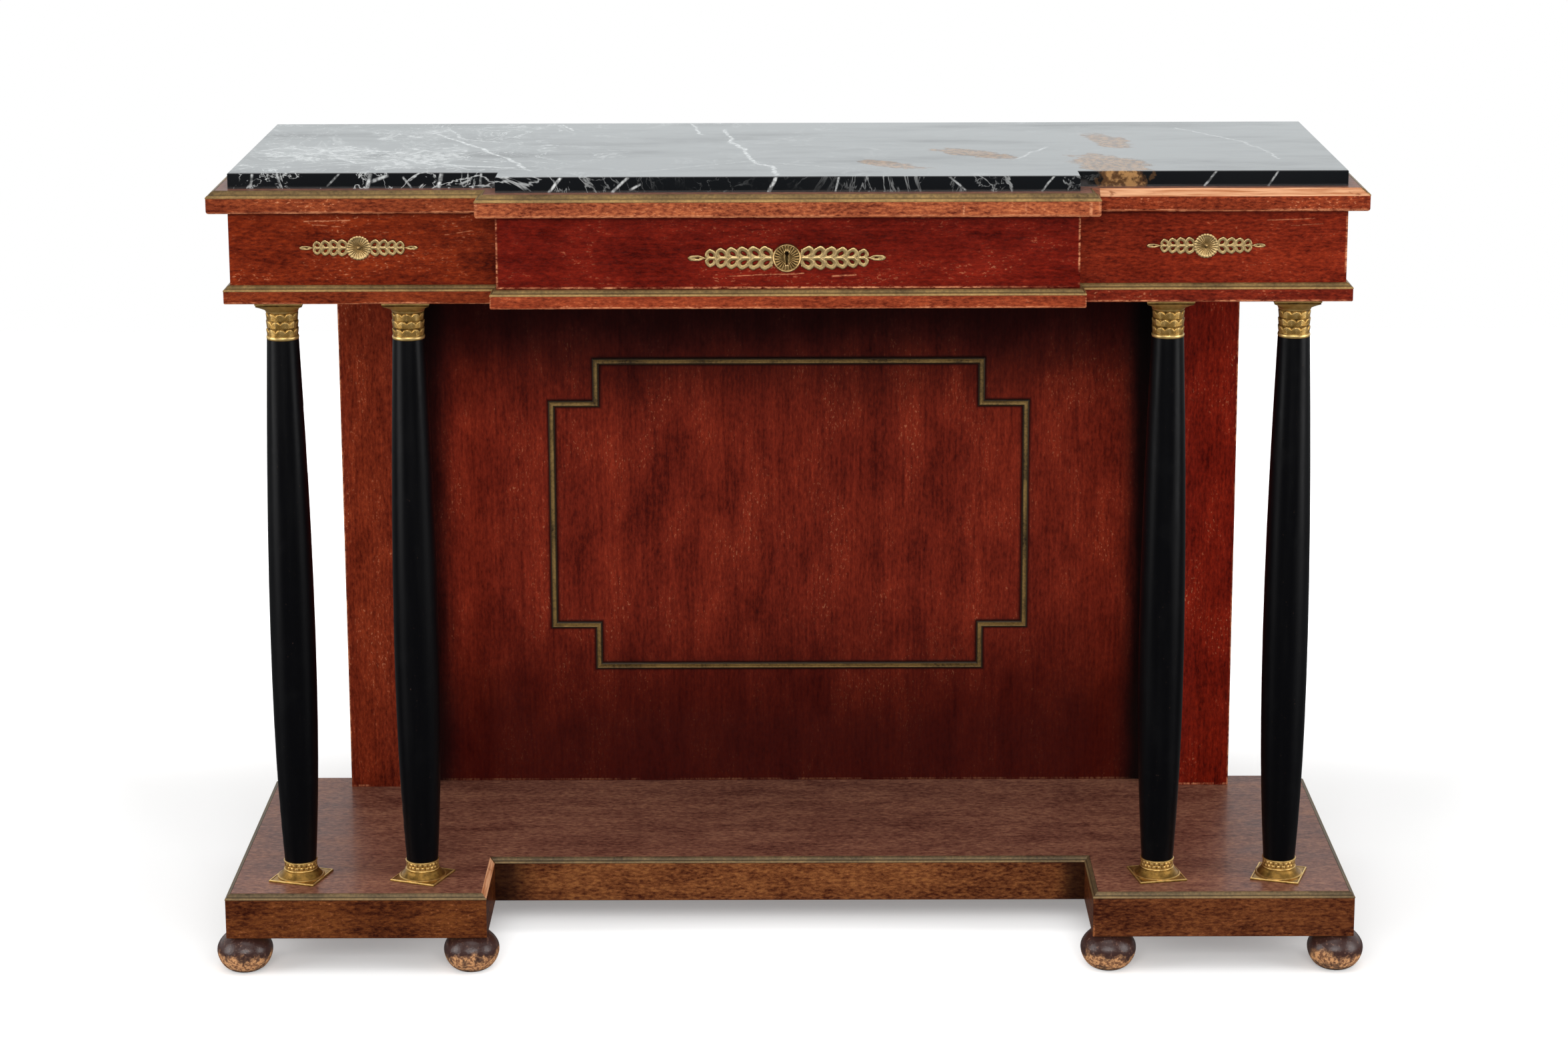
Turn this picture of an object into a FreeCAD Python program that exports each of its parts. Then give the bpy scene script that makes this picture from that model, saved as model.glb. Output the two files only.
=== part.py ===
import FreeCAD, Part
import math
import os

# A breakfront pier table. A marble slab lies on a shallow frieze with one drawer. Four turned
# columns and a panelled back carry the frieze, and stand on a low platform with bun feet.
# Millimetres. X runs to the right, Y to the back and Z up. The origin is on the floor, under
# the middle of the table. A depth is measured from the back of the table towards the front.

Vector = FreeCAD.Vector

# Plan of the frieze, which the mouldings, the marble and the drawer follow
FRIEZE_HALF_WIDTH = 701.0
FRIEZE_DEPTH = 436.5
BREAK_HALF_WIDTH = 363.5
BREAK_PROJECTION = 37.5

# Heights, from the floor up
FOOT_HEIGHT = 50.5
FASCIA_HEIGHT = 52.5
DECK_THICKNESS = 7.7
COLUMN_HEIGHT = 774.7
ARCHITRAVE_HEIGHT = 23.4
DRAWER_OPENING_HEIGHT = 93.7
CORNICE_HEIGHT = 19.5
TOP_BOARD_THICKNESS = 9.0
MARBLE_THICKNESS = 19.6

# Mouldings, and the brass ones that slope back over their edges
CORNICE_PROJECTION = 24.0
CORNICE_CORNER_RADIUS = 4.0
ARCHITRAVE_PROJECTION = 8.5
ARCHITRAVE_WIDTH = 25.0
ARCHITRAVE_CORNER_RADIUS = 2.0
ARCHITRAVE_BRASS_HEIGHT = 7.5
CORNICE_BRASS_DEPTH = 10.8
BASE_BRASS_DEPTH = 7.3
BRASS_EDGE = 1.1
BRASS_PROUD = 0.6
REED_RISE = 0.7
REED_GROOVE = 0.9
UPPER_REED_SHARE = 0.6
MARBLE_SETBACK = 25.0
MARBLE_CHAMFER = 0.8

# Carcase boards
BOARD_THICKNESS = 22.0
BACK_RAIL_THICKNESS = 20.0

# Platform base: how far it stands out of the frieze, and its recess under the drawer
BASE_SIDE_PROJECTION = 32.0
BASE_FRONT_PROJECTION = 33.5
RECESS_MARGIN = 29.5
RECESS_SETBACK = 136.0
FASCIA_THICKNESS = 10.0
FASCIA_CORNER_RADIUS = 2.0
CORNER_BLOCK_SIZE = 60.0

# Bun feet
FOOT_RADIUS = 36.25
FOOT_TOP_RADIUS = 28.0
FOOT_BOTTOM_RADIUS = 16.0
FOOT_WIDEST_HEIGHT = 26.0
FOOT_SIDE_INSET = 20.0
FOOT_RECESS_INSET = 23.5
FOOT_FRONT_INSET = 29.5
SPIGOT_RADIUS = 8.0
SPIGOT_LENGTH = 30.0

# Columns: how far they stand inside the frieze and apart, and how far the base of each has turned
COLUMN_SIDE_INSET = 58.5
COLUMN_FRONT_INSET = 36.5
COLUMN_SPACING = 160.0
COLUMN_TURNS = {"outer_left": -17.0, "inner_left": -21.0, "inner_right": 11.0, "outer_right": -18.0}
DOWEL_RADIUS = 8.0
DOWEL_DEPTH = 6.0
DOWEL_CLEARANCE = 0.2

# Column shaft: radius at the foot, the widest part and the neck, and the height of the widest part
SHAFT_FOOT_RADIUS = 20.6
SHAFT_LOWER_RADIUS = 25.4
SHAFT_LOWER_HEIGHT = 88.0
SHAFT_BELLY_RADIUS = 29.1
SHAFT_BELLY_HEIGHT = 290.0
SHAFT_UPPER_RADIUS = 26.2
SHAFT_UPPER_HEIGHT = 510.0
SHAFT_NECK_RADIUS = 20.4

# Bronze column base
PLATE_SIZE = 63.5
PLATE_THICKNESS = 2.7
FLARE_RADIUS = 30.5
FLARE_LIP = 1.0
FLARE_HEIGHT = 5.0
COLLAR_RADIUS = 21.2
COLLAR_HEIGHT = 17.6
COLLAR_RING = 0.9
COLLAR_RING_HEIGHT = 2.6

# Bronze capital
ABACUS_SIZE = 60.5
ABACUS_THICKNESS = 6.4
ABACUS_HOLLOW = 1.2
BELL_HEIGHT = 10.5
CAPITAL_RADIUS = 20.8
CAPITAL_HEIGHT = 52.4
CAPITAL_TIER_STEP = 1.3
CAPITAL_TIERS = 3
CAPITAL_RING_HEIGHT = 5.0

# Back of the table
STILE_SIDE_INSET = 81.0
STILE_WIDTH = 106.0
STILE_DEPTH = 39.0
PANEL_THICKNESS = 13.0
PANEL_LAP = 10.0

# Brass moulding frame on the back panel, by its margins to the stiles, the deck and the soffit
FRAME_SIDE_MARGIN = 184.0
FRAME_BOTTOM_MARGIN = 170.3
FRAME_TOP_MARGIN = 165.4
FRAME_NOTCH_WIDTH = 62.0
FRAME_NOTCH_HEIGHT = 60.0
FRAME_MOULDING_WIDTH = 8.8
FRAME_MOULDING_PROUD = 3.2
FRAME_MOULDING_EDGE = 2.4

# Drawer
DRAWER_TOP_GAP = 2.0
DRAWER_BOTTOM_GAP = 1.0
DRAWER_STOP_GAP = 0.5
DRAWER_SIDE_GAP = 1.0
DRAWER_RUNNING_GAP = 0.3
DRAWER_SIDE_THICKNESS = 12.0
DRAWER_SIDE_HEIGHT = 72.0
DRAWER_LENGTH = 390.0
DRAWER_BACK_THICKNESS = 10.0
DRAWER_BACK_HOUSING = 4.0
DRAWER_BACK_SETBACK = 8.0
DRAWER_BACK_DROP = 4.0
DRAWER_BOTTOM_THICKNESS = 6.0
DRAWER_BOTTOM_RISE = 5.0
DRAWER_GROOVE_DEPTH = 5.0
RUNNER_HEIGHT = 8.0
RUNNER_WIDTH = 24.0
KICKER_GAP = 1.0

# Lapped dovetails between the drawer sides and the drawer front
DOVETAIL_COUNT = 3
DOVETAIL_LENGTH = 14.0
DOVETAIL_ROOT = 13.0
DOVETAIL_FLARE = 2.2

# Drawer lock
LOCK_X = -1.3
LOCK_HALF_WIDTH = 32.0
LOCK_HEIGHT = 66.0
LOCK_DEPTH = 11.0
LOCK_WALL = 1.8
MORTISE_CLEARANCE = 0.3
BOLT_WIDTH = 18.0
BOLT_THICKNESS = 4.6
BOLT_LENGTH = 26.0
BOLT_TRAVEL = 8.0
BOLT_CLEARANCE = 0.25
BOLT_MORTISE_CLEARANCE = 1.5
KEYHOLE_DROP = 7.25
KEYHOLE_RADIUS = 2.6
KEYHOLE_SLOT_WIDTH = 3.2
KEYHOLE_LENGTH = 16.6

# Pierced leaf mounts
MOUNT_THICKNESS = 1.6
SIDE_MOUNT_LEFT_INSET = 163.0
SIDE_MOUNT_RIGHT_INSET = 177.0
SIDE_MOUNT_RISE = 0.35
SIDE_MOUNT_LENGTH = 149.5
SIDE_MOUNT_BAND = 18.0
SIDE_MOUNT_ROSETTE = 15.5
SIDE_MOUNT_PAIRS = 4
ESCUTCHEON_LENGTH = 247.0
ESCUTCHEON_BAND = 26.0
ESCUTCHEON_ROSETTE = 18.25
ESCUTCHEON_PAIRS = 6
ROSETTE_RISE = 1.6
LEAF_SLANT = 32.0
LEAF_OVERLAP = 1.3
LEAF_VEIN = 1.5
SLOT_MARGIN = 1.9
BUD_PITCHES = 1.3
BUD_LAP_PITCHES = 0.4
BUD_WIDTH_SHARE = 0.5
FIRST_LEAF_LAP_PITCHES = 0.35
LAST_LEAF_SHORTENING = 0.35
ROSETTE_RIM_WIDTH = 2.6
ROSETTE_BOSS_SHARE = 0.5

# Points nearer than this are one point
COINCIDENT = 1e-6

# Levels that follow from the heights
DECK_BOTTOM = FOOT_HEIGHT + FASCIA_HEIGHT
DECK_TOP = DECK_BOTTOM + DECK_THICKNESS
SOFFIT = DECK_TOP + COLUMN_HEIGHT
FRIEZE_BOTTOM = SOFFIT + ARCHITRAVE_HEIGHT
OPENING_TOP = FRIEZE_BOTTOM + DRAWER_OPENING_HEIGHT
TOP_BOARD_BOTTOM = OPENING_TOP + CORNICE_HEIGHT
MARBLE_BOTTOM = TOP_BOARD_BOTTOM + TOP_BOARD_THICKNESS

# Places that follow from the plan
BACK = (FRIEZE_DEPTH + BREAK_PROJECTION + CORNICE_PROJECTION) / 2
BREAK_DEPTH = FRIEZE_DEPTH + BREAK_PROJECTION
BASE_HALF_WIDTH = FRIEZE_HALF_WIDTH + BASE_SIDE_PROJECTION
BASE_DEPTH = FRIEZE_DEPTH + BASE_FRONT_PROJECTION
RECESS_HALF_WIDTH = BREAK_HALF_WIDTH + RECESS_MARGIN
RECESS_DEPTH = BASE_DEPTH - RECESS_SETBACK
OUTER_COLUMN_X = FRIEZE_HALF_WIDTH - COLUMN_SIDE_INSET
INNER_COLUMN_X = OUTER_COLUMN_X - COLUMN_SPACING
COLUMN_DEPTH = FRIEZE_DEPTH - COLUMN_FRONT_INSET
STILE_OUTER_X = FRIEZE_HALF_WIDTH - STILE_SIDE_INSET
STILE_INNER_X = STILE_OUTER_X - STILE_WIDTH
DRAWER_FRONT_BACK = BREAK_DEPTH - BOARD_THICKNESS
PARTITION_DEPTH = DRAWER_FRONT_BACK - DRAWER_STOP_GAP
PARTITION_INNER_X = BREAK_HALF_WIDTH - BOARD_THICKNESS
DRAWER_SIDE_X = PARTITION_INNER_X - DRAWER_SIDE_GAP
RUNNER_TOP = FRIEZE_BOTTOM + RUNNER_HEIGHT
DRAWER_SIDE_BOTTOM = RUNNER_TOP + DRAWER_RUNNING_GAP
DRAWER_SIDE_TOP = DRAWER_SIDE_BOTTOM + DRAWER_SIDE_HEIGHT
DRAWER_BOTTOM_LEVEL = DRAWER_SIDE_BOTTOM + DRAWER_BOTTOM_RISE
DRAWER_FRONT_TOP = OPENING_TOP - DRAWER_TOP_GAP
FRIEZE_MIDDLE = (FRIEZE_BOTTOM + OPENING_TOP) / 2
KEYHOLE_HEIGHT = FRIEZE_MIDDLE - KEYHOLE_DROP


# ---------------------------------------------------------------- general shapes

def at_depth(depth):
    """Return the Y of a depth measured from the back of the table."""
    return BACK - depth


def board(x_range, depth_range, z_range):
    """Return a rectangular board between two X values, two depths and two levels."""
    (x0, x1), (near, far), (z0, z1) = sorted(x_range), sorted(depth_range), sorted(z_range)
    return Part.makeBox(x1 - x0, far - near, z1 - z0, Vector(x0, at_depth(far), z0))


def outline(start, *steps):
    """Return a flat face in the XZ plane with the given corners.

    A step is the next corner, or a pair of points: one that an arc passes, and the arc's end.
    """
    edges = []
    here = Vector(start[0], 0, start[1])
    for step in steps:
        if isinstance(step[0], tuple):
            middle = Vector(step[0][0], 0, step[0][1])
            end = Vector(step[1][0], 0, step[1][1])
            edges.append(Part.Arc(here, middle, end).toShape())
        else:
            end = Vector(step[0], 0, step[1])
            edges.append(Part.makeLine(here, end))
        here = end
    first = Vector(start[0], 0, start[1])
    if not here.isEqual(first, COINCIDENT):
        edges.append(Part.makeLine(here, first))
    return Part.Face(Part.Wire(edges))


def turned(face):
    """Turn a face in the XZ plane about the Z axis."""
    return face.revolve(Vector(0, 0, 0), Vector(0, 0, 1), 360)


def slab(corners, bottom, thickness):
    """Return a level board with the given corners in plan."""
    points = [Vector(x, y, bottom) for x, y in corners]
    return Part.Face(Part.makePolygon(points + points[:1])).extrude(Vector(0, 0, thickness))


def moved(shape, x, y, z, turn=0.0):
    """Return a copy of a shape, turned about Z by some degrees and set down at a point."""
    placed = shape.copy()
    placed.Placement = FreeCAD.Placement(Vector(x, y, z), FreeCAD.Rotation(Vector(0, 0, 1), turn))
    return placed


def mitred_lengths(section, path, level, closed=False):
    """Return the straight lengths of a moulding that follows a path, mitred where it turns.

    The section lies in the XZ plane: X is how far out of the path, on its right-hand side, and
    Z how far over the level. The path is a list of points in plan.
    """
    box = section.BoundBox
    count = len(path) if closed else len(path) - 1
    corners = [Vector(x, y, 0) for x, y in path]
    lengths = []
    for i in range(count):
        start, end = corners[i], corners[(i + 1) % len(corners)]
        along = (end - start).normalize()
        slopes = []
        for other_start, other_end, at_end in (
            (corners[i - 1], start, i > 0 or closed),
            (end, corners[(i + 2) % len(corners)], i < count - 1 or closed),
        ):
            other = (other_end - other_start).normalize() if at_end else along
            first, second = (other, along) if other_end == start else (along, other)
            turn = math.atan2(first.cross(second).z, first.dot(second))
            slopes.append(math.tan(turn / 2))
        distance = (end - start).Length
        footprint = [
            (box.XMin, -slopes[0] * box.XMin),
            (box.XMax, -slopes[0] * box.XMax),
            (box.XMax, distance + slopes[1] * box.XMax),
            (box.XMin, distance + slopes[1] * box.XMin),
        ]
        reach = distance + 2 * box.XLength
        bar = section.extrude(Vector(0, 2 * reach, 0)).translated(Vector(0, -reach / 2, 0))
        length = bar.common(slab(footprint, box.ZMin, box.ZLength))
        turn = math.degrees(math.atan2(-along.x, along.y))
        lengths.append(moved(length.Solids[0], start.x, start.y, level, turn))
    return lengths


def breakfront(projection):
    """Return the line round the sides and front of the table, some distance out of the frieze."""
    side = FRIEZE_HALF_WIDTH + projection
    step = BREAK_HALF_WIDTH + projection
    wing = at_depth(FRIEZE_DEPTH + projection)
    front = at_depth(BREAK_DEPTH + projection)
    return [
        (-side, BACK), (-side, wing), (-step, wing), (-step, front),
        (step, front), (step, wing), (side, wing), (side, BACK),
    ]


def platform(inset):
    """Return the line round the sides and front of the base, some distance inside its edge."""
    side = BASE_HALF_WIDTH - inset
    step = RECESS_HALF_WIDTH + inset
    wing = at_depth(BASE_DEPTH - inset)
    recess = at_depth(RECESS_DEPTH - inset)
    return [
        (-side, BACK), (-side, wing), (-step, wing), (-step, recess),
        (step, recess), (step, wing), (side, wing), (side, BACK),
    ]


def moulding_section(inner, outer, height, radius):
    """Return a rectangular section with a rounded lower edge on its outside."""
    bend = radius * (1 - math.sqrt(0.5))
    return outline(
        (inner, 0), (outer - radius, 0), ((outer - bend, bend), (outer, radius)),
        (outer, height), (inner, height),
    )


def reeded_section(width, thickness, edge):
    """Return the section of a brass strip with two round reeds and a groove between them.

    X runs across the strip and Z out of it. The first reed is the wider one.
    """
    groove = (width - REED_GROOVE) * UPPER_REED_SHARE
    second = groove + REED_GROOVE
    return outline(
        (0, 0), (0, edge), ((groove / 2, thickness), (groove, edge)), (second, edge),
        (((second + width) / 2, thickness), (width, edge)), (width, 0),
    )


def brass_bed(depth, height, outer):
    """Return the two ends of the slope under a brass moulding, the outer and lower one first.

    The moulding fills an edge of that depth and height, whose outside is outer.
    """
    slope = math.hypot(depth, height)
    out = BRASS_EDGE * height / slope
    up = BRASS_EDGE * depth / slope
    return (outer - out, 0), (outer - depth, height - up)


def brass_section(depth, height, outer):
    """Return the section of a brass moulding, laid on its bed with the wider reed at the top."""
    low, high = brass_bed(depth, height, outer)
    run, rise = low[0] - high[0], high[1] - low[1]
    strip = reeded_section(math.hypot(run, rise), BRASS_EDGE + REED_RISE, BRASS_EDGE)
    tilt = FreeCAD.Rotation(Vector(0, 1, 0), math.degrees(math.atan2(rise, run)))
    strip.Placement = FreeCAD.Placement(Vector(high[0], 0, high[1]), tilt)
    return strip


def bevelled_slab(foot, head, bottom, rise, thickness):
    """Return a level board whose edge slopes in from one outline to another, then stands upright."""
    rings = []
    for corners, level in ((foot, bottom), (head, bottom + rise)):
        points = [Vector(x, y, level) for x, y in corners]
        rings.append(Part.makePolygon(points + points[:1]))
    slope = Part.makeLoft(rings, True, True)
    return slope.fuse(slab(head, bottom + rise, thickness - rise)).removeSplitter()


# ---------------------------------------------------------------- marble, top board, cornice

def marble_top():
    """Return the marble slab, its top edges taken off a little."""
    corners = breakfront(CORNICE_PROJECTION - MARBLE_SETBACK)
    block = slab(corners, MARBLE_BOTTOM, MARBLE_THICKNESS)
    top = max(block.Faces, key=lambda face: face.CenterOfMass.z)
    return block.makeChamfer(MARBLE_CHAMFER, top.Edges)


def top_board():
    """Return the board under the marble, its edge bevelled for the brass mouldings."""
    low, high = brass_bed(CORNICE_BRASS_DEPTH, TOP_BOARD_THICKNESS, CORNICE_PROJECTION)
    return bevelled_slab(
        breakfront(low[0]), breakfront(high[0]), TOP_BOARD_BOTTOM, high[1], TOP_BOARD_THICKNESS
    )


def cornice():
    """Return the seven lengths of the moulding under the top board, from left to right."""
    section = moulding_section(
        0, CORNICE_PROJECTION - BRASS_PROUD, CORNICE_HEIGHT, CORNICE_CORNER_RADIUS
    )
    return mitred_lengths(section, breakfront(0), OPENING_TOP)


def cornice_brass():
    """Return the seven brass mouldings on the edge of the top board, from left to right."""
    section = brass_section(CORNICE_BRASS_DEPTH, TOP_BOARD_THICKNESS, CORNICE_PROJECTION)
    return mitred_lengths(section, breakfront(0), TOP_BOARD_BOTTOM)


# ---------------------------------------------------------------- frieze

def frieze_front(side):
    """Return the fixed panel on the left (-1) or right (1) of the drawer."""
    return board(
        (side * BREAK_HALF_WIDTH, side * FRIEZE_HALF_WIDTH),
        (FRIEZE_DEPTH - BOARD_THICKNESS, FRIEZE_DEPTH),
        (FRIEZE_BOTTOM, TOP_BOARD_BOTTOM),
    )


def frieze_side(side):
    """Return the end board on the left (-1) or right (1)."""
    return board(
        (side * (FRIEZE_HALF_WIDTH - BOARD_THICKNESS), side * FRIEZE_HALF_WIDTH),
        (0, FRIEZE_DEPTH - BOARD_THICKNESS),
        (FRIEZE_BOTTOM, TOP_BOARD_BOTTOM),
    )


def frieze_back_rail():
    """Return the rail between the two end boards at the back."""
    inner = FRIEZE_HALF_WIDTH - BOARD_THICKNESS
    return board((-inner, inner), (0, BACK_RAIL_THICKNESS), (FRIEZE_BOTTOM, TOP_BOARD_BOTTOM))


def drawer_partition(side):
    """Return the board beside the drawer, whose front end stops the drawer front."""
    return board(
        (side * PARTITION_INNER_X, side * BREAK_HALF_WIDTH),
        (BACK_RAIL_THICKNESS, PARTITION_DEPTH),
        (FRIEZE_BOTTOM, TOP_BOARD_BOTTOM),
    )


def bolt_hole(depth_of_middle, bottom, height, clearance):
    """Return the space that the lock bolt fills between two levels, with clearance all round."""
    half_width = BOLT_WIDTH / 2 + clearance
    half_thickness = BOLT_THICKNESS / 2 + clearance
    return board(
        (LOCK_X - half_width, LOCK_X + half_width),
        (depth_of_middle - half_thickness, depth_of_middle + half_thickness),
        (bottom, bottom + height),
    )


def bolt_depth():
    """Return the depth of the middle of the lock bolt."""
    return DRAWER_FRONT_BACK + LOCK_DEPTH / 2


def drawer_top_rail():
    """Return the rail over the drawer, with the mortise that the lock bolt shoots into."""
    rail = board(
        (-BREAK_HALF_WIDTH, BREAK_HALF_WIDTH),
        (PARTITION_DEPTH, BREAK_DEPTH),
        (OPENING_TOP, TOP_BOARD_BOTTOM),
    )
    return rail.cut(bolt_hole(bolt_depth(), OPENING_TOP, BOLT_TRAVEL, BOLT_MORTISE_CLEARANCE))


def strips_beside_drawer(bottom, top):
    """Return a pair of strips along the two partitions, between two levels."""
    return [
        board(
            (side * (PARTITION_INNER_X - RUNNER_WIDTH), side * PARTITION_INNER_X),
            (BACK_RAIL_THICKNESS, PARTITION_DEPTH),
            (bottom, top),
        )
        for side in (-1, 1)
    ]


# ---------------------------------------------------------------- soffit and architrave

def column_places():
    """Return the name, the X and the turn of the base of each column, from left to right."""
    places = {
        "outer_left": -OUTER_COLUMN_X, "inner_left": -INNER_COLUMN_X,
        "inner_right": INNER_COLUMN_X, "outer_right": OUTER_COLUMN_X,
    }
    return [(name, x, COLUMN_TURNS[name]) for name, x in places.items()]


def dowel_holes(bottom):
    """Return the four dowel holes of the columns, from a level upwards."""
    hole = Part.makeCylinder(DOWEL_RADIUS + DOWEL_CLEARANCE, DOWEL_DEPTH)
    y = at_depth(COLUMN_DEPTH)
    return Part.makeCompound([moved(hole, x, y, bottom) for _, x, _ in column_places()])


def soffit_board():
    """Return the board over the columns, inside the architrave."""
    corners = breakfront(ARCHITRAVE_PROJECTION - ARCHITRAVE_WIDTH)
    return slab(corners, SOFFIT, ARCHITRAVE_HEIGHT).cut(dowel_holes(SOFFIT))


def architrave():
    """Return the seven lengths of the moulding under the frieze, bevelled for brass."""
    inner = ARCHITRAVE_PROJECTION - ARCHITRAVE_WIDTH
    face = ARCHITRAVE_PROJECTION - BRASS_PROUD
    low, high = brass_bed(ARCHITRAVE_PROJECTION, ARCHITRAVE_BRASS_HEIGHT, ARCHITRAVE_PROJECTION)
    wood = ARCHITRAVE_HEIGHT - ARCHITRAVE_BRASS_HEIGHT
    radius = ARCHITRAVE_CORNER_RADIUS
    bend = radius * (1 - math.sqrt(0.5))
    section = outline(
        (inner, 0), (face - radius, 0), ((face - bend, bend), (face, radius)), (face, wood),
        (low[0], wood), (high[0], wood + high[1]), (high[0], ARCHITRAVE_HEIGHT),
        (inner, ARCHITRAVE_HEIGHT),
    )
    return mitred_lengths(section, breakfront(0), SOFFIT)


def architrave_brass():
    """Return the seven brass mouldings between the frieze and the face of the architrave."""
    section = brass_section(ARCHITRAVE_PROJECTION, ARCHITRAVE_BRASS_HEIGHT, ARCHITRAVE_PROJECTION)
    return mitred_lengths(section, breakfront(0), FRIEZE_BOTTOM - ARCHITRAVE_BRASS_HEIGHT)


# ---------------------------------------------------------------- columns

def base_height():
    """Return the height of a column's bronze base."""
    return PLATE_THICKNESS + FLARE_HEIGHT + COLLAR_HEIGHT


def dowel_bore(height):
    """Return the hole through a bronze casting for the dowel of the shaft."""
    return Part.makeCylinder(DOWEL_RADIUS + DOWEL_CLEARANCE, height)


def column_shaft():
    """Return a swelling shaft with a dowel at each end, from the deck to the soffit."""
    bottom = base_height()
    top = COLUMN_HEIGHT - CAPITAL_HEIGHT
    swelling = Part.BSplineCurve()
    swelling.interpolate([
        Vector(SHAFT_FOOT_RADIUS, 0, bottom),
        Vector(SHAFT_LOWER_RADIUS, 0, bottom + SHAFT_LOWER_HEIGHT),
        Vector(SHAFT_BELLY_RADIUS, 0, bottom + SHAFT_BELLY_HEIGHT),
        Vector(SHAFT_UPPER_RADIUS, 0, bottom + SHAFT_UPPER_HEIGHT),
        Vector(SHAFT_NECK_RADIUS, 0, top),
    ])
    corners = [
        Vector(SHAFT_NECK_RADIUS, 0, top),
        Vector(DOWEL_RADIUS, 0, top),
        Vector(DOWEL_RADIUS, 0, COLUMN_HEIGHT + DOWEL_DEPTH),
        Vector(0, 0, COLUMN_HEIGHT + DOWEL_DEPTH),
        Vector(0, 0, -DOWEL_DEPTH),
        Vector(DOWEL_RADIUS, 0, -DOWEL_DEPTH),
        Vector(DOWEL_RADIUS, 0, bottom),
        Vector(SHAFT_FOOT_RADIUS, 0, bottom),
    ]
    edges = [swelling.toShape()] + [Part.makeLine(a, b) for a, b in zip(corners, corners[1:])]
    return turned(Part.Face(Part.Wire(edges)))


def column_base():
    """Return a bronze base: a square plate, a hollow flare and a collar with a ring at each end."""
    half = PLATE_SIZE / 2
    plate = Part.makeBox(PLATE_SIZE, PLATE_SIZE, PLATE_THICKNESS, Vector(-half, -half, 0))
    lip = PLATE_THICKNESS + FLARE_LIP
    foot = PLATE_THICKNESS + FLARE_HEIGHT
    top = foot + COLLAR_HEIGHT
    ring = COLLAR_RADIUS + COLLAR_RING
    middle = (COLLAR_RADIUS + FLARE_RADIUS) / 2
    body = turned(outline(
        (0, 0), (half, 0), (half, PLATE_THICKNESS), (FLARE_RADIUS, PLATE_THICKNESS),
        (FLARE_RADIUS, lip), ((middle, lip + FLARE_LIP), (ring, foot)),
        ((ring + COLLAR_RING, foot + COLLAR_RING_HEIGHT / 2), (COLLAR_RADIUS, foot + COLLAR_RING_HEIGHT)),
        (COLLAR_RADIUS, top - COLLAR_RING_HEIGHT),
        ((ring, top - COLLAR_RING_HEIGHT / 2), (COLLAR_RADIUS, top)), (0, top),
    ))
    return plate.fuse(body).cut(dowel_bore(top)).removeSplitter()


def abacus_outline():
    """Return the outline of the plate on a capital, its sides hollowed between pointed corners."""
    half = ABACUS_SIZE / 2
    corners = [Vector(x, y, 0) for x, y in ((half, -half), (half, half), (-half, half), (-half, -half))]
    edges = []
    for i, corner in enumerate(corners):
        after = corners[(i + 1) % len(corners)]
        middle = (corner + after) * 0.5
        inward = middle * (1 - ABACUS_HOLLOW / half)
        edges.append(Part.Arc(corner, inward, after).toShape())
    return Part.Wire(edges)


def capital_bell():
    """Return the bell of a capital, which spreads from a round foot to the outline of the abacus."""
    up = Vector(0, 0, 1)
    foot_arcs = [
        Part.makeCircle(CAPITAL_RADIUS, Vector(0, 0, 0), up, 90 * i - 45, 90 * i + 45) for i in range(4)
    ]
    rim = abacus_outline()
    rim.translate(up * BELL_HEIGHT)
    return Part.makeLoft([Part.Wire(foot_arcs), rim], True, True)


def column_capital():
    """Return a bronze capital: a ring, tiers that flare upwards, a spreading bell and an abacus."""
    bell_bottom = CAPITAL_HEIGHT - ABACUS_THICKNESS - BELL_HEIGHT
    bell_top = CAPITAL_HEIGHT - ABACUS_THICKNESS
    tier = (bell_bottom - CAPITAL_RING_HEIGHT) / CAPITAL_TIERS
    narrow = CAPITAL_RADIUS - CAPITAL_TIER_STEP
    steps = [
        (CAPITAL_RADIUS, 0),
        ((CAPITAL_RADIUS + COLLAR_RING, CAPITAL_RING_HEIGHT / 2), (CAPITAL_RADIUS, CAPITAL_RING_HEIGHT)),
    ]
    for i in range(CAPITAL_TIERS):
        bottom = CAPITAL_RING_HEIGHT + i * tier
        steps.append((narrow, bottom))
        steps.append(((narrow, bottom + tier / 2), (CAPITAL_RADIUS, bottom + tier)))
    steps.append((0, bell_bottom))
    body = turned(outline((0, 0), *steps))
    bell = moved(capital_bell(), 0, 0, bell_bottom)
    plate = moved(Part.Face(abacus_outline()).extrude(Vector(0, 0, ABACUS_THICKNESS)), 0, 0, bell_top)
    return body.fuse([bell, plate]).cut(dowel_bore(CAPITAL_HEIGHT)).removeSplitter()


# ---------------------------------------------------------------- back

def back_panel():
    """Return the panel between the stiles, lapped behind them."""
    half = STILE_INNER_X + PANEL_LAP
    return board((-half, half), (0, PANEL_THICKNESS), (DECK_TOP, SOFFIT))


def stile(side):
    """Return the upright beside the back panel, rebated at the back to hold the panel."""
    lap = STILE_INNER_X + PANEL_LAP
    upright = board((side * STILE_INNER_X, side * STILE_OUTER_X), (0, STILE_DEPTH), (DECK_TOP, SOFFIT))
    rebate = board((side * STILE_INNER_X, side * lap), (0, PANEL_THICKNESS), (DECK_TOP, SOFFIT))
    return upright.cut(rebate)


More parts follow.
